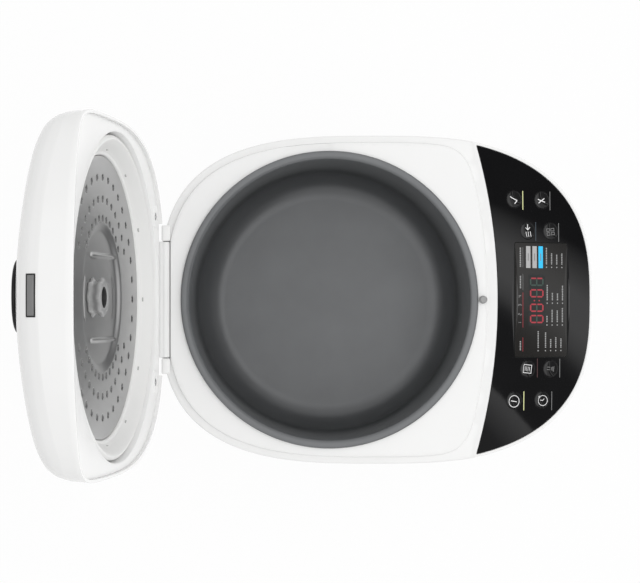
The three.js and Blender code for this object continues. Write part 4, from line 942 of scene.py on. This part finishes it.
def make_underside():
    pitch, length, width = 9.0, 34.0, 3.6
    vents = [(i + 0.5) * pitch for i in range(-3, 3)]
    holes = [rectangle(-length / 2, length / 2, y - width / 2, y + width / 2, 1.7, 6) for y in vents]
    holes += [circle(3.6, 32, x, y) for x, y in SCREWS]
    b = slab(body_plan(12.3), holes, 7.3, 4.3, 0.8)
    piece("underside", b, WHITE_LINER, "base", "white_shell", "bottom_cover")


def screw_head(name, node, x, y, z, body):
    """A pan head with a cross recess, its top at z facing down."""
    arm, half = 1.9, 0.42
    profile = [(0, 14), (1.4, 12.6), (1.4, 1.5), (3.2, 1.5), (3.2, 0.5), (2.7, 0.0), (0, 0)]
    b = turned([(r, z + up) for r, up in profile], 40, x, y, 0.2)
    cross = [brick(x - a, x + a, y - c, y + c, z - 1, z + 0.8, 0.15, 0.05) for a, c in ((arm, half), (half, arm))]
    piece(name, b, STEEL, body, "steel", node, cuts=cross)


make_underside()
for number, (x, y) in enumerate(SCREWS, 1):
    screw_head("screw_%d" % number, "base_screw_%d" % number, x, y, 4.3, "base")
for foot in ("foot_front_right", "foot_front_left", "foot_rear_right", "foot_rear_left"):
    lathe_piece(foot + "_pad", [(0, 0.35), (5.0, 0.35), (5.6, 0), (9.4, 0), (11, 1.4), (11, 4.0), (0, 4.0)],
                RUBBER, "base", "dark_rubber", foot, 64, 0.4, *centre_of(foot))


def make_inlet():
    """The socket for a lead, built lying in XY with Z out of the wall, then stood up."""
    _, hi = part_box("power_inlet")
    face, middle_z = hi.y / MM - SHIFT_Y, 25.5
    socket = [(-11.2, -7.7), (11.2, -7.7), (11.2, 4.2), (7.6, 7.7), (-7.6, 7.7), (-11.2, 4.2)]
    inner = rounded(socket, 1.0)
    plate = slab(rectangle(-15.6, 15.6, -12.1, 12.1, 2.4, 6), [inner], 0.0, -1.6, 0.5)
    sleeve = Builder()
    mouths = []
    for loop, end_z in ((inner, -15.0), (offset(inner, 1.6), -17.0)):
        mouth, end = sleeve.ring(loop, -0.6), sleeve.ring(loop, end_z)
        sleeve.bridge(mouth, end)
        sleeve.fill([end])
        mouths.append(mouth)
    sleeve.bridge(*mouths)
    pins = [
        slab(rectangle(x - 1.0, x + 1.0, y - 2.0, y + 2.0, 0.4, 3), [], -7.2, -15.2, 0.35, 2)
        for x, y in ((-6, -1.6), (0, 2.2), (6, -1.6))
    ]
    for name, b, shade, slot, nodes in (
            ("inlet_socket", joined(plate, sleeve), BLACK_MATT_AND_SHADE, "black_plastic", ["power_inlet"]),
            ("inlet_pins", joined(*pins), STEEL, "steel", [])):
        b.points = [(-p[0], face + p[2], middle_z + p[1]) for p in b.points]
        piece(name, b, shade, "base", slot, *nodes)


make_inlet()


# Bowl and what is under it

def make_bowl():
    outer, inner, corner = 115.0, 113.0, 26.0
    rim = BOWL_RIM_Z
    profile = [(0, 54.9), (70, 54.6), (74, 54.0), (80, 54.0)]
    profile += arc_points(outer - corner, 54 + corner, corner, -90, 0, 12)
    profile += [(outer, rim - 4.2), (outer + 0.9, rim - 2.5), (outer + 2.0, rim - 2.3)]
    profile += [(119.2, rim - 2.3)] + arc_points(118.85, rim - 1.15, 1.15, -60, 90, 8)
    profile += [(116.2, rim + 0.0), (114.6, rim - 0.35), (113.5, rim - 1.2), (inner, rim - 2.8)]
    profile += arc_points(inner - corner + 2, 56 + corner - 2, corner - 2, 0, -90, 14)
    profile += [(60, 56.0), (30, 56.35), (0, 56.6)]
    lathe_piece("bowl", profile, COATING, "bowl", "bowl_coating", "cooking_bowl", 192, 0, sharp=50)


make_bowl()
lathe_piece("chamber", [
    (72, 40), (119, 40), (119, 187.0), (123, 187.0), (123, 187.8), (118.2, 187.8), (118.2, 40.8), (72, 40.8)],
    ALUMINIUM, "base", "aluminium", "inner_chamber", 160, 0.6)
lathe_piece("heater_band", [(119.3, 110), (120.5, 110), (120.5, 140), (119.3, 140)],
            FOIL, "base", "heater_foil", "side_heater_band", 96, 0.3)


def make_plate():
    profile = [(16, 41.1), (56, 41.1), (59, 36.1), (65, 36.1), (68, 41.1), (82, 41.1), (86, 45.1), (86, 49.7),
               (82, 53.7), (16, 53.7)]
    ends = []
    for side in (-1, 1):
        x, y = polar(62, -math.pi / 2 + side * 0.35)
        ends.append(brick(x - 2, x + 2, y - 2, y + 2, 26.1, 41.5, 0.8, 0.4))
    whole = joined(turned(profile, radius=1.0), *ends)
    piece("hotplate", whole, CAST, "base", "cast_metal", "heating_plate")


make_plate()
lathe_piece("sensor_cup", [
    (4, 23.8), (14.5, 23.8), (14.5, 39.8), (24, 39.8), (24, 40.8), (13.5, 40.8), (13.5, 24.8), (4, 24.8)],
    STEEL, "base", "steel", "sensor_bracket", 64, 0.3)
lathe_piece("sensor_cap", [
    (11.6, 36.0), (12.8, 36.0), (12.8, 52.5), (11.6, 53.7), (0, 53.7), (0, 50.7), (11.6, 50.7)],
    ALUMINIUM, "sensor", "aluminium", "temperature_sensor", 64, 0.5)

# Lid, built in the place that it has when it is shut

DOME_HEIGHT, DOME_REACH, DOME_DRAFT = 52.6, 85.0, 1.0
DOME_Z = HINGE_Z + DOME_HEIGHT
LID_WALL = 2.2
HUB_Y = -21.0


def crown(x):
    return DOME_HEIGHT - 14.4 * (abs(x) / BODY_HALF) ** 1.7


def crease(x):
    """The lid's front wall is tallest in the middle and lower towards the corners."""
    return 26 - 11 * min(abs(x) / 112, 1) ** 2.6


def smooth_curve(points, steps):
    """A curve through the points that never overshoots them."""
    slopes = [(q[1] - p[1]) / (q[0] - p[0]) for p, q in zip(points, points[1:])]
    tangents = [slopes[0], *[2 * a * b / (a + b) for a, b in zip(slopes, slopes[1:])], slopes[-1]]
    out = [points[0]]
    for i, ((x0, y0), (x1, y1)) in enumerate(zip(points, points[1:])):
        for k in range(1, steps + 1):
            t = k / steps
            run = x1 - x0
            y = (y0 * (1 + 2 * t) + run * tangents[i] * t) * (1 - t) ** 2
            y += (y1 * (3 - 2 * t) - run * tangents[i + 1] * (1 - t)) * t ** 2
            out.append((x0 + run * t, y))
    return out


# How far the lid's skin has drawn in, and how high it has risen from the crease to the crown
DOME = smooth_curve([(0, 0), (0.025, 0.32), (0.09, 0.61), (0.2, 0.775), (0.42, 0.89), (1, 1)], 4)


def skin_z(x, rise):
    return HINGE_Z + crease(x) + rise * (crown(x) - crease(x))


def dome_rings(b, grow=0.0):
    rings = []
    for inward, rise in DOME:
        loop = lid_plan(DOME_DRAFT + inward * DOME_REACH - grow)
        rings.append(b.ring(loop, lambda x, y: skin_z(x, rise) + grow * rise))
    last = [b.points[i] for i in rings[-1]]
    for share in (0.8, 0.6, 0.4, 0.2):
        loop = [(p[0] * share, BODY_MID_Y + (p[1] - BODY_MID_Y) * share) for p in last]
        rings.append(b.ring(loop, lambda x, y: HINGE_Z + crown(x) + grow))
    return rings


def dome_top(x, y):
    """Height of the lid's outer surface over a point."""
    angle = math.atan2(y - BODY_MID_Y, x)
    here = math.hypot(x, y - BODY_MID_Y)
    for (i0, h0), (i1, h1) in zip(DOME, DOME[1:]):
        r0, r1 = (lid_radius(angle, DOME_DRAFT + i * DOME_REACH) for i in (i0, i1))
        if r1 <= here <= r0:
            return skin_z(x, h0 + (h1 - h0) * (r0 - here) / max(1e-6, r0 - r1))
    return skin_z(x, 1.0)


def make_cover():
    b = Builder()
    foot = 2.1
    rings = b.rings(lid_plan, ((0.9, 1.5), (0.5, 1.5), (0.15, 1.65), (0.0, foot)), HINGE_Z)
    for share in (0.25, 0.5, 0.75, 0.96):
        loop = lid_plan(share * DOME_DRAFT)
        rings.append(b.ring(loop, lambda x, y: HINGE_Z + foot + share * (crease(x) - foot)))
    rings += dome_rings(b)
    b.bridge(*rings)
    b.fan(rings[-1], (0, BODY_MID_Y, DOME_Z))
    inner = [b.ring(lid_plan(LID_WALL), HINGE_Z + 1.5), *dome_rings(b, -LID_WALL)]
    b.bridge(*inner)
    b.bridge(inner[0], rings[0])
    b.fan(inner[-1], (0, BODY_MID_Y, DOME_Z - LID_WALL))
    cap_well = [(r, HINGE_Z + up) for r, up in ((0, 30), (11.6, 30), (11.6, 60), (0, 60))]
    piece("lid_shell", b, WHITE, "lid", "white_shell", "lid_cover", sharp=30, cuts=[
        brick(-61.2, 61.2, 120, 140, 185, HINGE_Z + 8.6, 0.8, 0.3),
        brick(-14.65, 14.65, -137, -121, HINGE_Z + 27.65, HINGE_Z + 34.95, 0.3, 0.12),
        turned(cap_well, 64, 0, HUB_Y),
    ])


make_cover()

LINER_Z = HINGE_Z + 4.0
POCKET_R = 121.5
RECESS = 2.8
WELL_Z = 19 + RECESS
BARREL_HALF = 46.7
PAD_X, PAD_Y = 66, 113.5


def hub_circle(radius, steps=PLAN_STEPS):
    return circle(radius, steps, y=HUB_Y)


def make_liner():
    b = Builder()
    rim_r, back = 123.5, 2.0
    rings = b.rings(lid_plan, ((2.35, back), (2.35, 0.5), (2.5, 0.15), (2.85, 0.0)), LINER_Z)
    b.bridge(*rings)
    pocket = b.rings(circle, ((POCKET_R + 1.0, 0.0), (POCKET_R + 0.3, 0.3), (POCKET_R, 1.0)), LINER_Z)
    pocket += b.rings(circle, (
        (POCKET_R, 17.5), (POCKET_R - 0.5, 18.6), (POCKET_R - 1.6, 19), (58, 19), (58, WELL_Z), (30, WELL_Z),
    ), HINGE_Z)
    pocket += b.rings(hub_circle, ((12.0, WELL_Z), (12.0, WELL_Z + 2)), HINGE_Z)
    pocket += b.rings(circle, ((60, WELL_Z + 2), (60, 21), (rim_r, 21)), HINGE_Z)
    pocket.append(b.ring(circle(rim_r), LINER_Z + back))
    b.bridge(*pocket)
    b.fill([rings[-1], pocket[0]])
    b.fill([rings[0], pocket[-1]])
    slots = [brick(-3.8, 3.8, LID_FRONT_Y + 2.6, -120.3, LINER_Z - 5, HINGE_Z + 11.3, 1.2, 0.3)]
    for x0, x1 in ((-61.2, -BARREL_HALF), (BARREL_HALF, 61.2)):
        slots.append(brick(x0, x1, 126.3, 140, LINER_Z - 6, LINER_Z + 8, 0.4, 0.2))
    piece("liner", b, WHITE_LINER, "lid", "white_shell", "lid_liner", sharp=40, cuts=slots)


def make_hinge():
    barrel = Builder()
    bore, radius, half = 1.95, 3.8, BARREL_HALF
    end = [(half - 0.7, radius), (half - 0.2, 3.6), (half, 3.2), (half, bore)]
    rows = []
    for x, r in [(-x, r) for x, r in end[::-1]] + end:
        rows.append(barrel.ring3([(x, *p) for p in circle(r, 40, HINGE_Y, HINGE_Z)]))
    barrel.bridge(*rows, looped=True)
    plate = brick(-half, half, 123.8, 134.5, HINGE_Z + 6.3, HINGE_Z + 8.3, 0.5, 0.4)
    web = brick(-half, half, 129.0, 134.5, HINGE_Z + 1.0, HINGE_Z + 6.9, 0.5, 0.2)
    whole = joined(barrel, plate, web)
    piece("hinge_barrel", whole, WHITE_LINER, "lid", "white_shell", "hinge_bracket", sharp=40)


def make_lid_screws():
    pads = []
    for x in (-PAD_X, PAD_X):
        outer = rectangle(x - 9, x + 9, PAD_Y - 5, PAD_Y + 5, 2.0, 6)
        pads.append(slab(outer, [circle(3.5, 32, x, PAD_Y)], LINER_Z + 0.5, LINER_Z - 0.6))
    piece("liner_pads", joined(*pads), WHITE_LINER, "lid", "white_shell")
    for x, node in ((-PAD_X, "lid_screw_left"), (PAD_X, "lid_screw_right")):
        screw_head(node + "_head", node, x, PAD_Y, LINER_Z - 0.6 + 0.15, "lid")


make_liner()
make_hinge()
make_lid_screws()

# Inner lid

DISC_Z = HINGE_Z + 16.5
DENT_RINGS, DENTS = (88.5, 72.4, 58.2), 36
HOLE_IN_DISC, DISC_EDGE = 9.2, 103.9


def from_dent(x, y):
    """Distance to the middle of the nearest dent."""
    r = math.hypot(x, y)
    ring = min(DENT_RINGS, key=lambda other: abs(other - r))
    step = TURN / DENTS
    dent_x, dent_y = polar(ring, round(math.atan2(y, x) / step) * step)
    # The two inner rings have none in front of the ribs' ends and behind them
    if ring < 80 and abs(dent_x) < 33 and abs(dent_y) > 40:
        return ring
    return math.hypot(x - dent_x, y - dent_y)


def disc_height(x, y):
    """How far the inner lid's face stands towards the bowl."""
    r = math.hypot(x, y)
    h = -RECESS * (1 - smooth_step(48.2, 55.6, r))
    h -= 1.3 * (1 - smooth_step(1.0, 2.9, from_dent(x, y)))
    # Two straight ribs that stand up from the floor to the level of the rim
    for rib in (-31, 31):
        ends = smooth_step(-25, -22, y) * (1 - smooth_step(43, 47, y))
        h = max(h, -RECESS + ends * 1.5 * (1 - smooth_step(0.4, 2.2, abs(x - rib))))
    # Arcs in front of the hub and behind it
    for middle in (-90, 90):
        away = abs((math.degrees(math.atan2(y, x)) - middle + 180) % 360 - 180)
        h += 0.7 * (1 - smooth_step(0.3, 1.8, abs(r - 41))) * (1 - smooth_step(20, 25, away))
    return h


def make_inner_lid():
    """The disc; its rings start round the hub's hole and widen into circles round the disc's middle."""
    b = Builder()
    steps, pitch, thick = 576, 0.75, 0.9
    count = int((103.5 - HOLE_IN_DISC) / pitch) + 1
    radii = [HOLE_IN_DISC + pitch * i for i in range(count)] + [DISC_EDGE]
    face = []
    for r in radii:
        shift = HUB_Y * (1 - smooth_step(HOLE_IN_DISC, 34.0, r))
        face.append(b.ring(circle(r, steps, 0, shift), lambda x, y: DISC_Z - disc_height(x, y)))
    rows = ((104.4, 0.2), (104.6, 0.7), (104.6, 1.6), (103.7, 1.6), (103.7, thick), (54.5, thick),
            (50, RECESS + thick), (34, RECESS + thick))
    face += b.rings(lambda r: circle(r, steps), rows, DISC_Z)
    face.append(b.ring(hub_circle(HOLE_IN_DISC, steps), DISC_Z + RECESS + thick))
    b.bridge(*face, looped=True)
    disc = piece("inner_disc", b, DISC_METAL, "inner_lid", "aluminium", "inner_lid", sharp=60)
    dented = []
    for row, r in enumerate(radii[:-1]):
        for i in range(steps if r > 50 else 0):
            if from_dent(*polar(r + pitch / 2, (i + 0.5) / steps * TURN)) < 2.6:
                dented.append(row * steps + i)
    # The faces inside the dents get the darker metal: painted shade in the dimples
    paint(disc, DENT_SHADE, dented)


def make_seal():
    inner, outer, mark_r = 105.0, 119.4, 109.0
    crest = BOWL_RIM_Z + 0.3
    top = DISC_Z + 1.6
    profile = [(inner, DISC_Z + 0.2), (inner + 0.6, DISC_Z - 0.9), (inner + 2.4, DISC_Z - 1.5),
               (109.5, crest + 6.6), (110.6, crest + 5.2), (113.2, crest + 2.4), (115.2, crest + 0.5),
               (116.2, crest), (117.2, crest + 0.25), (119.0, crest + 1.7), (outer, crest + 2.6),
               (outer, top - 2.4), (118.6, top - 0.8), (117.2, top), (inner, top)]
    lathe_piece("seal_ring", profile, SILICONE, "inner_lid", "silicone", "inner_lid_seal", 240, 0.5, sharp=50)
    # Twelve small darker blocks round the seal: painted shade where the notches lie
    marks = []
    for a in round_angles(12):
        m = brick(-0.45, 0.45, -1.6, 1.6, DISC_Z - 3.9, DISC_Z - 2.5, 0.3, 0.1)
        c, s = math.cos(a), math.sin(a)
        m.points = [((mark_r + p[0]) * c - p[1] * s, (mark_r + p[0]) * s + p[1] * c, p[2]) for p in m.points]
        marks.append(m)
    piece("seal_notches", joined(*marks), NOTCH_SHADE, "inner_lid", "silicone")


def make_hub():
    """The scalloped cap of the steam valve; the walls of its bore are painted black as painted shade."""
    top = DISC_Z + RECESS - GAP
    low, bore_z = top - 10.0, DISC_Z + 8.7
    steps, lobes = 192, 8
    b = Builder()
    rings = []
    for base, lobe, up in (
            (13.2, 0.9, 0.0), (13.4, 0.9, 0.3), (13.4, 0.9, 1.4), (13.0, 0.8, 2.0), (11.9, 0.5, 2.6),
            (11.5, 0.4, 3.6), (11.7, 0.5, 4.8), (12.6, 0.8, 5.8), (13.2, 0.9, 6.8), (13.4, 0.9, 8.0),
            (13.0, 0.85, 9.0), (12.2, 0.7, 9.7), (11.2, 0.5, 10.0)):
        loop = [polar(base + lobe * math.cos(lobes * a), a, 0, HUB_Y) for a in round_angles(steps)]
        rings.append(b.ring(loop, top - up))
    rings += b.rings(lambda r: hub_circle(r, steps), (
        (9.6, low), (8.6, low + 0.2), (7.8, low + 0.8), (7.3, low + 1.8), (7.3, bore_z), (8.8, bore_z),
        (8.8, top)))
    b.bridge(*rings, looped=True)
    cap = piece("hub_cap", b, HUB_GREY, "inner_lid", "grey_gloss", "valve_hub", sharp=45)
    # The bore's inner walls are painted black: painted shade, so the hole reads dark
    paint(cap, BLACK_MATT_AND_SHADE, range(15 * steps, 17 * steps))


make_inner_lid()
make_seal()
make_hub()

# Steam way, trim and release button

DUCT_Z = HINGE_Z + WELL_Z
lathe_piece("duct", [(9.5, DUCT_Z + 0.3), (11, DUCT_Z + 0.3), (11, DUCT_Z + 2.3), (16, DUCT_Z + 2.3),
                     (16, DUCT_Z + 3.7), (11, DUCT_Z + 3.7), (11, DOME_Z), (9.5, DOME_Z)],
            WHITE_LINER, "lid", "white_shell", "steam_duct", 64, 0.3, y=HUB_Y)
lathe_piece("duct_gasket", [(9.1, -1.3), (12.8, -1.3), (12.8, -0.3), (9.1, -0.3)],
            SILICONE, "lid", "silicone", "duct_seal", 64, 0.3, y=HUB_Y, base=DUCT_Z)


def make_trim():
    half, front, rear, rise = 26.0, LID_FRONT_Y + 15 + 26, 30.0, 3.0
    loop = arc_points(0, rear, half, 0, 180, 40) + arc_points(0, front, half, 180, 360, 40)
    b = slab(loop, [hub_circle(19.3, 96)], lambda x, y: dome_top(x, y) + rise,
             lambda x, y: dome_top(x, y) + GAP, 1.0, 4, 4.0)
    piece("top_trim", b, TRIM_BLACK, "lid", "black_gloss", "lid_top_trim", sharp=50)


def make_cap():
    low, top = DOME_Z + 0.6, DOME_Z + 5.4
    under, slot_pitch = top - 1.8, 4.6
    profile = [(7.5, DOME_Z - 6), (8.9, DOME_Z - 6), (8.9, under), (17, under), (17, low), (19, low),
               (19, top - 0.9), (18.2, top - 0.2), (15.5, top), (12, top - 0.35), (0, top - 0.35), (0, under),
               (7.5, under)]
    slots = []
    for shift in (-slot_pitch, 0, slot_pitch):
        slot = brick(-4.6, 4.6, -1.25, 1.25, under - 0.8, top + 2, 1.0, 0.2, 4)
        slot.points = [(p[0], p[1] + shift + HUB_Y, p[2]) for p in slot.points]
        slots.append(slot)
    b = turned(profile, 96, y=HUB_Y, radius=0.35)
    piece("vent_cap", b, BLACK_MATT_AND_SHADE, "steam_cap", "black_plastic", "steam_cap", cuts=slots)


def make_button():
    """The grey bar that follows the lid's front and its hidden flange; its side walls and a thin ring round its
    face are near-black painted shadow for the gap round it.
    """
    low, high = HINGE_Z + 28, HINGE_Z + 34.6
    flange_y, rear = LID_FRONT_Y + 6.79, LID_FRONT_Y + 10.19
    face = rectangle(-14.3, 14.3, low, high, 1.1)

    def surface(x, z):
        rise = (z - HINGE_Z - crease(x)) / (crown(x) - crease(x))
        inward = 0.0
        for (i0, h0), (i1, h1) in zip(DOME, DOME[1:]):
            if h0 <= rise <= h1:
                inward = DOME_DRAFT + DOME_REACH * (i0 + (i1 - i0) * (rise - h0) / (h1 - h0))
        return ARC_Y - math.sqrt((LID_ARC_R - inward) ** 2 - x * x) - 0.6

    def rims(b, rows):
        return [b.ring3([(x, surface(x, z) + depth, z) for x, z in offset(face, out)]) for out, depth in rows]

    b = Builder()
    rings = rims(b, ((-1.1, 0.0), (-0.8, 0.1), (-0.65, 0.3), (-0.6, 0.9)))
    rings.append(b.ring3([(x, rear, z) for x, z in face]))
    b.bridge(*rings)
    middle = (low + high) / 2
    b.fan(rings[0], (0, surface(0, middle), middle))
    b.fan(rings[-1], (0, rear, middle))
    flange = brick(-16.9, 16.9, flange_y, flange_y + 1.6, low, high, 0.4, 0.2)
    whole = joined(b, flange)
    key = piece("release_key", whole, BUTTON_GREY, "release_button", "grey_gloss", "release_button", sharp=45)
    # The button's side walls are painted near-black: painted shadow in the gap round it
    paint(key, SHADOW, range(3 * len(face), 4 * len(face)))
    # A thin near-black ring round the face: painted shadow where the gap lies
    edging = Builder()
    edging.bridge(*rims(edging, ((0.15, 0.15), (-0.55, 0.1), (-0.55, 0.9), (0.15, 0.9))), looped=True)
    piece("release_key_shadow_line", edging, SHADOW, "release_button", "grey_gloss")


make_trim()
make_cap()
make_button()

# Solids that stay as they are, each with its material and the width of its bevel
KEEP = {
    "hinge_pin": (STEEL, 0.25), "lid_spring_left": (STEEL, 0), "lid_spring_right": (STEEL, 0),
    "sensor_spring": (STEEL, 0), "button_spring": (STEEL, 0), "latch_slider": (STEEL, 0.2),
    "display_board": (BOARD, 0.2), "power_board": (BOARD, 0.25),
}
for node, (shade, width) in KEEP.items():
    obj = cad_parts[node]
    obj.data.materials.clear()
    obj.data.materials.append(shade)
    if width:
        edges = obj.modifiers.new("edges", "BEVEL")
        edges.width = width * MM
        edges.segments = 2
        edges.limit_method = "ANGLE"
        edges.angle_limit = math.radians(30)
        edges.harden_normals = True


# Studio

def math_node(tree, operation, *values):
    return add_node(tree, "Math", dict(enumerate(values)), operation=operation).outputs[0]


def mix_node(tree, share, first, second):
    return add_node(tree, "MixShader", {0: share, 1: first, 2: second}).outputs[0]


def seen_rays(tree):
    """The glossy rays alone, and all that see a surface directly, in a mirror or through glass."""
    rays = add_node(tree, "LightPath").outputs
    direct = math_node(tree, "MAXIMUM", rays["Is Camera Ray"], rays["Is Glossy Ray"])
    return rays["Is Glossy Ray"], math_node(tree, "MAXIMUM", direct, rays["Is Transmission Ray"])


def make_floor():
    size, level, glow_share = 4000, -0.4, 0.93
    b = Builder()
    b.faces = [tuple(b.ring(rectangle(-size, size, -size, size), level))]
    floor = make("floor", b, outward=False)
    m = bpy.data.materials.new("studio_floor")
    m.use_nodes = True
    tree = m.node_tree
    tree.nodes.clear()
    matt = add_node(tree, "BsdfDiffuse", {"Color": (0.9, 0.9, 0.9, 1)}).outputs[0]
    glow = add_node(tree, "Emission", {"Color": (1, 1, 1, 1), "Strength": 1.0}).outputs[0]
    share = math_node(tree, "MULTIPLY", seen_rays(tree)[1], glow_share)
    add_node(tree, "OutputMaterial", {"Surface": mix_node(tree, share, matt, glow)})
    floor.data.materials.append(m)


SKY, FRONT_GLOW = 0.70, 0.85
# Brightness along the slanting position across the front wall
WALL_STOPS = (
    (0.158, 0.21), (0.24, 0.8), (0.246, 0.8), (0.249, 0.1), (0.40, 0.09), (0.425, 0.2), (0.46, 0.72),
    (0.50, 1.0), (0.57, 1.0), (0.65, 0.29), (0.675, 0.05), (0.85, 0.05), (0.95, 0.6),
)


def make_world():
    """Even light all round; reflections see white walls with a dim stretch and soft panels in front."""
    world = bpy.data.worlds.new("studio")
    bpy.context.scene.world = world
    world.use_nodes = True
    tree = world.node_tree
    tree.nodes.clear()

    def sums(operation, *values):
        return math_node(tree, operation, *values)

    def background(strength):
        return add_node(tree, "Background", {"Color": (1, 1, 1, 1), "Strength": strength}).outputs[0]

    def fade(value, start, stop):
        inputs = {"Value": value, "From Min": start, "From Max": stop}
        return add_node(tree, "MapRange", inputs, interpolation_type="SMOOTHSTEP").outputs["Result"]

    glossy, direct = seen_rays(tree)
    way = add_node(tree, "TexCoord").outputs["Generated"]
    x, y, z = add_node(tree, "SeparateXYZ", {0: way}).outputs
    ahead = sums("MULTIPLY", y, -1.0)
    across = sums("DIVIDE", x, sums("MAXIMUM", ahead, 0.05))
    slant = sums("MULTIPLY", sums("SUBTRACT", z, 0.559), -3.4)
    panels = add_node(tree, "ValToRGB", {"Fac": sums("ADD", sums("ADD", across, slant), 0.5)})
    elements = panels.color_ramp.elements
    while len(elements) < len(WALL_STOPS):
        elements.new(0.5)
    for element, (at, level) in zip(elements, WALL_STOPS):
        element.position = at
        element.color = (level, level, level, 1)
    # White again low down, straight above and towards the sides
    plain = sums("MAXIMUM", fade(sums("MULTIPLY", z, -1.0), -0.38, -0.28), fade(z, 0.88, 0.97))
    plain = sums("MAXIMUM", plain, fade(y, -0.42, -0.25))
    shade = sums("MAXIMUM", panels.outputs["Color"], plain)
    soft = background(sums("ADD", sums("MULTIPLY", fade(ahead, 0.2, 1.0), FRONT_GLOW), SKY))
    walls = mix_node(tree, glossy, background(1.0), background(shade))
    add_node(tree, "OutputWorld", {"Surface": mix_node(tree, direct, soft, walls)})


def area_light(name, place, target, width, height, power):
    light = bpy.data.lights.new(name, "AREA")
    light.shape = "ELLIPSE"
    light.size = width
    light.size_y = height
    light.energy = power
    obj = bpy.data.objects.new(name, light)
    bpy.context.scene.collection.objects.link(obj)
    obj.location = place
    obj.rotation_euler = (Vector(target) - Vector(place)).to_track_quat("-Z", "Y").to_euler()


make_floor()
make_world()
area_light("key_light", (0, 0.7, 2.2), (0, 0, 0.15), 2.0, 1.4, 5)
area_light("fill_light", (0, -0.45, 2.1), (0, 0, 0.15), 1.8, 0.9, 5)

# Camera, straight down with the lid at the left; focal length and shifts are in pixels of the photograph

CAMERA_X, CAMERA_Y, CAMERA_H = -16.4, 27.8, BOWL_RIM_Z + 1440
PHOTO_WIDTH, FOCAL, SHIFT_RIGHT, SHIFT_UP = 640, 1788, 25, 28.5
SENSOR = 36
camera = bpy.data.objects.new("camera", bpy.data.cameras.new("camera"))
bpy.context.scene.collection.objects.link(camera)
camera.data.sensor_width = SENSOR
camera.data.lens = SENSOR * FOCAL / PHOTO_WIDTH
camera.location = (CAMERA_X * MM, (CAMERA_Y + SHIFT_Y) * MM, CAMERA_H * MM)
camera.rotation_euler = (0, 0, -math.pi / 2)
camera.data.shift_x = SHIFT_RIGHT / PHOTO_WIDTH
camera.data.shift_y = SHIFT_UP / PHOTO_WIDTH
bpy.context.scene.camera = camera
bpy.context.scene.view_settings.view_transform = "Standard"
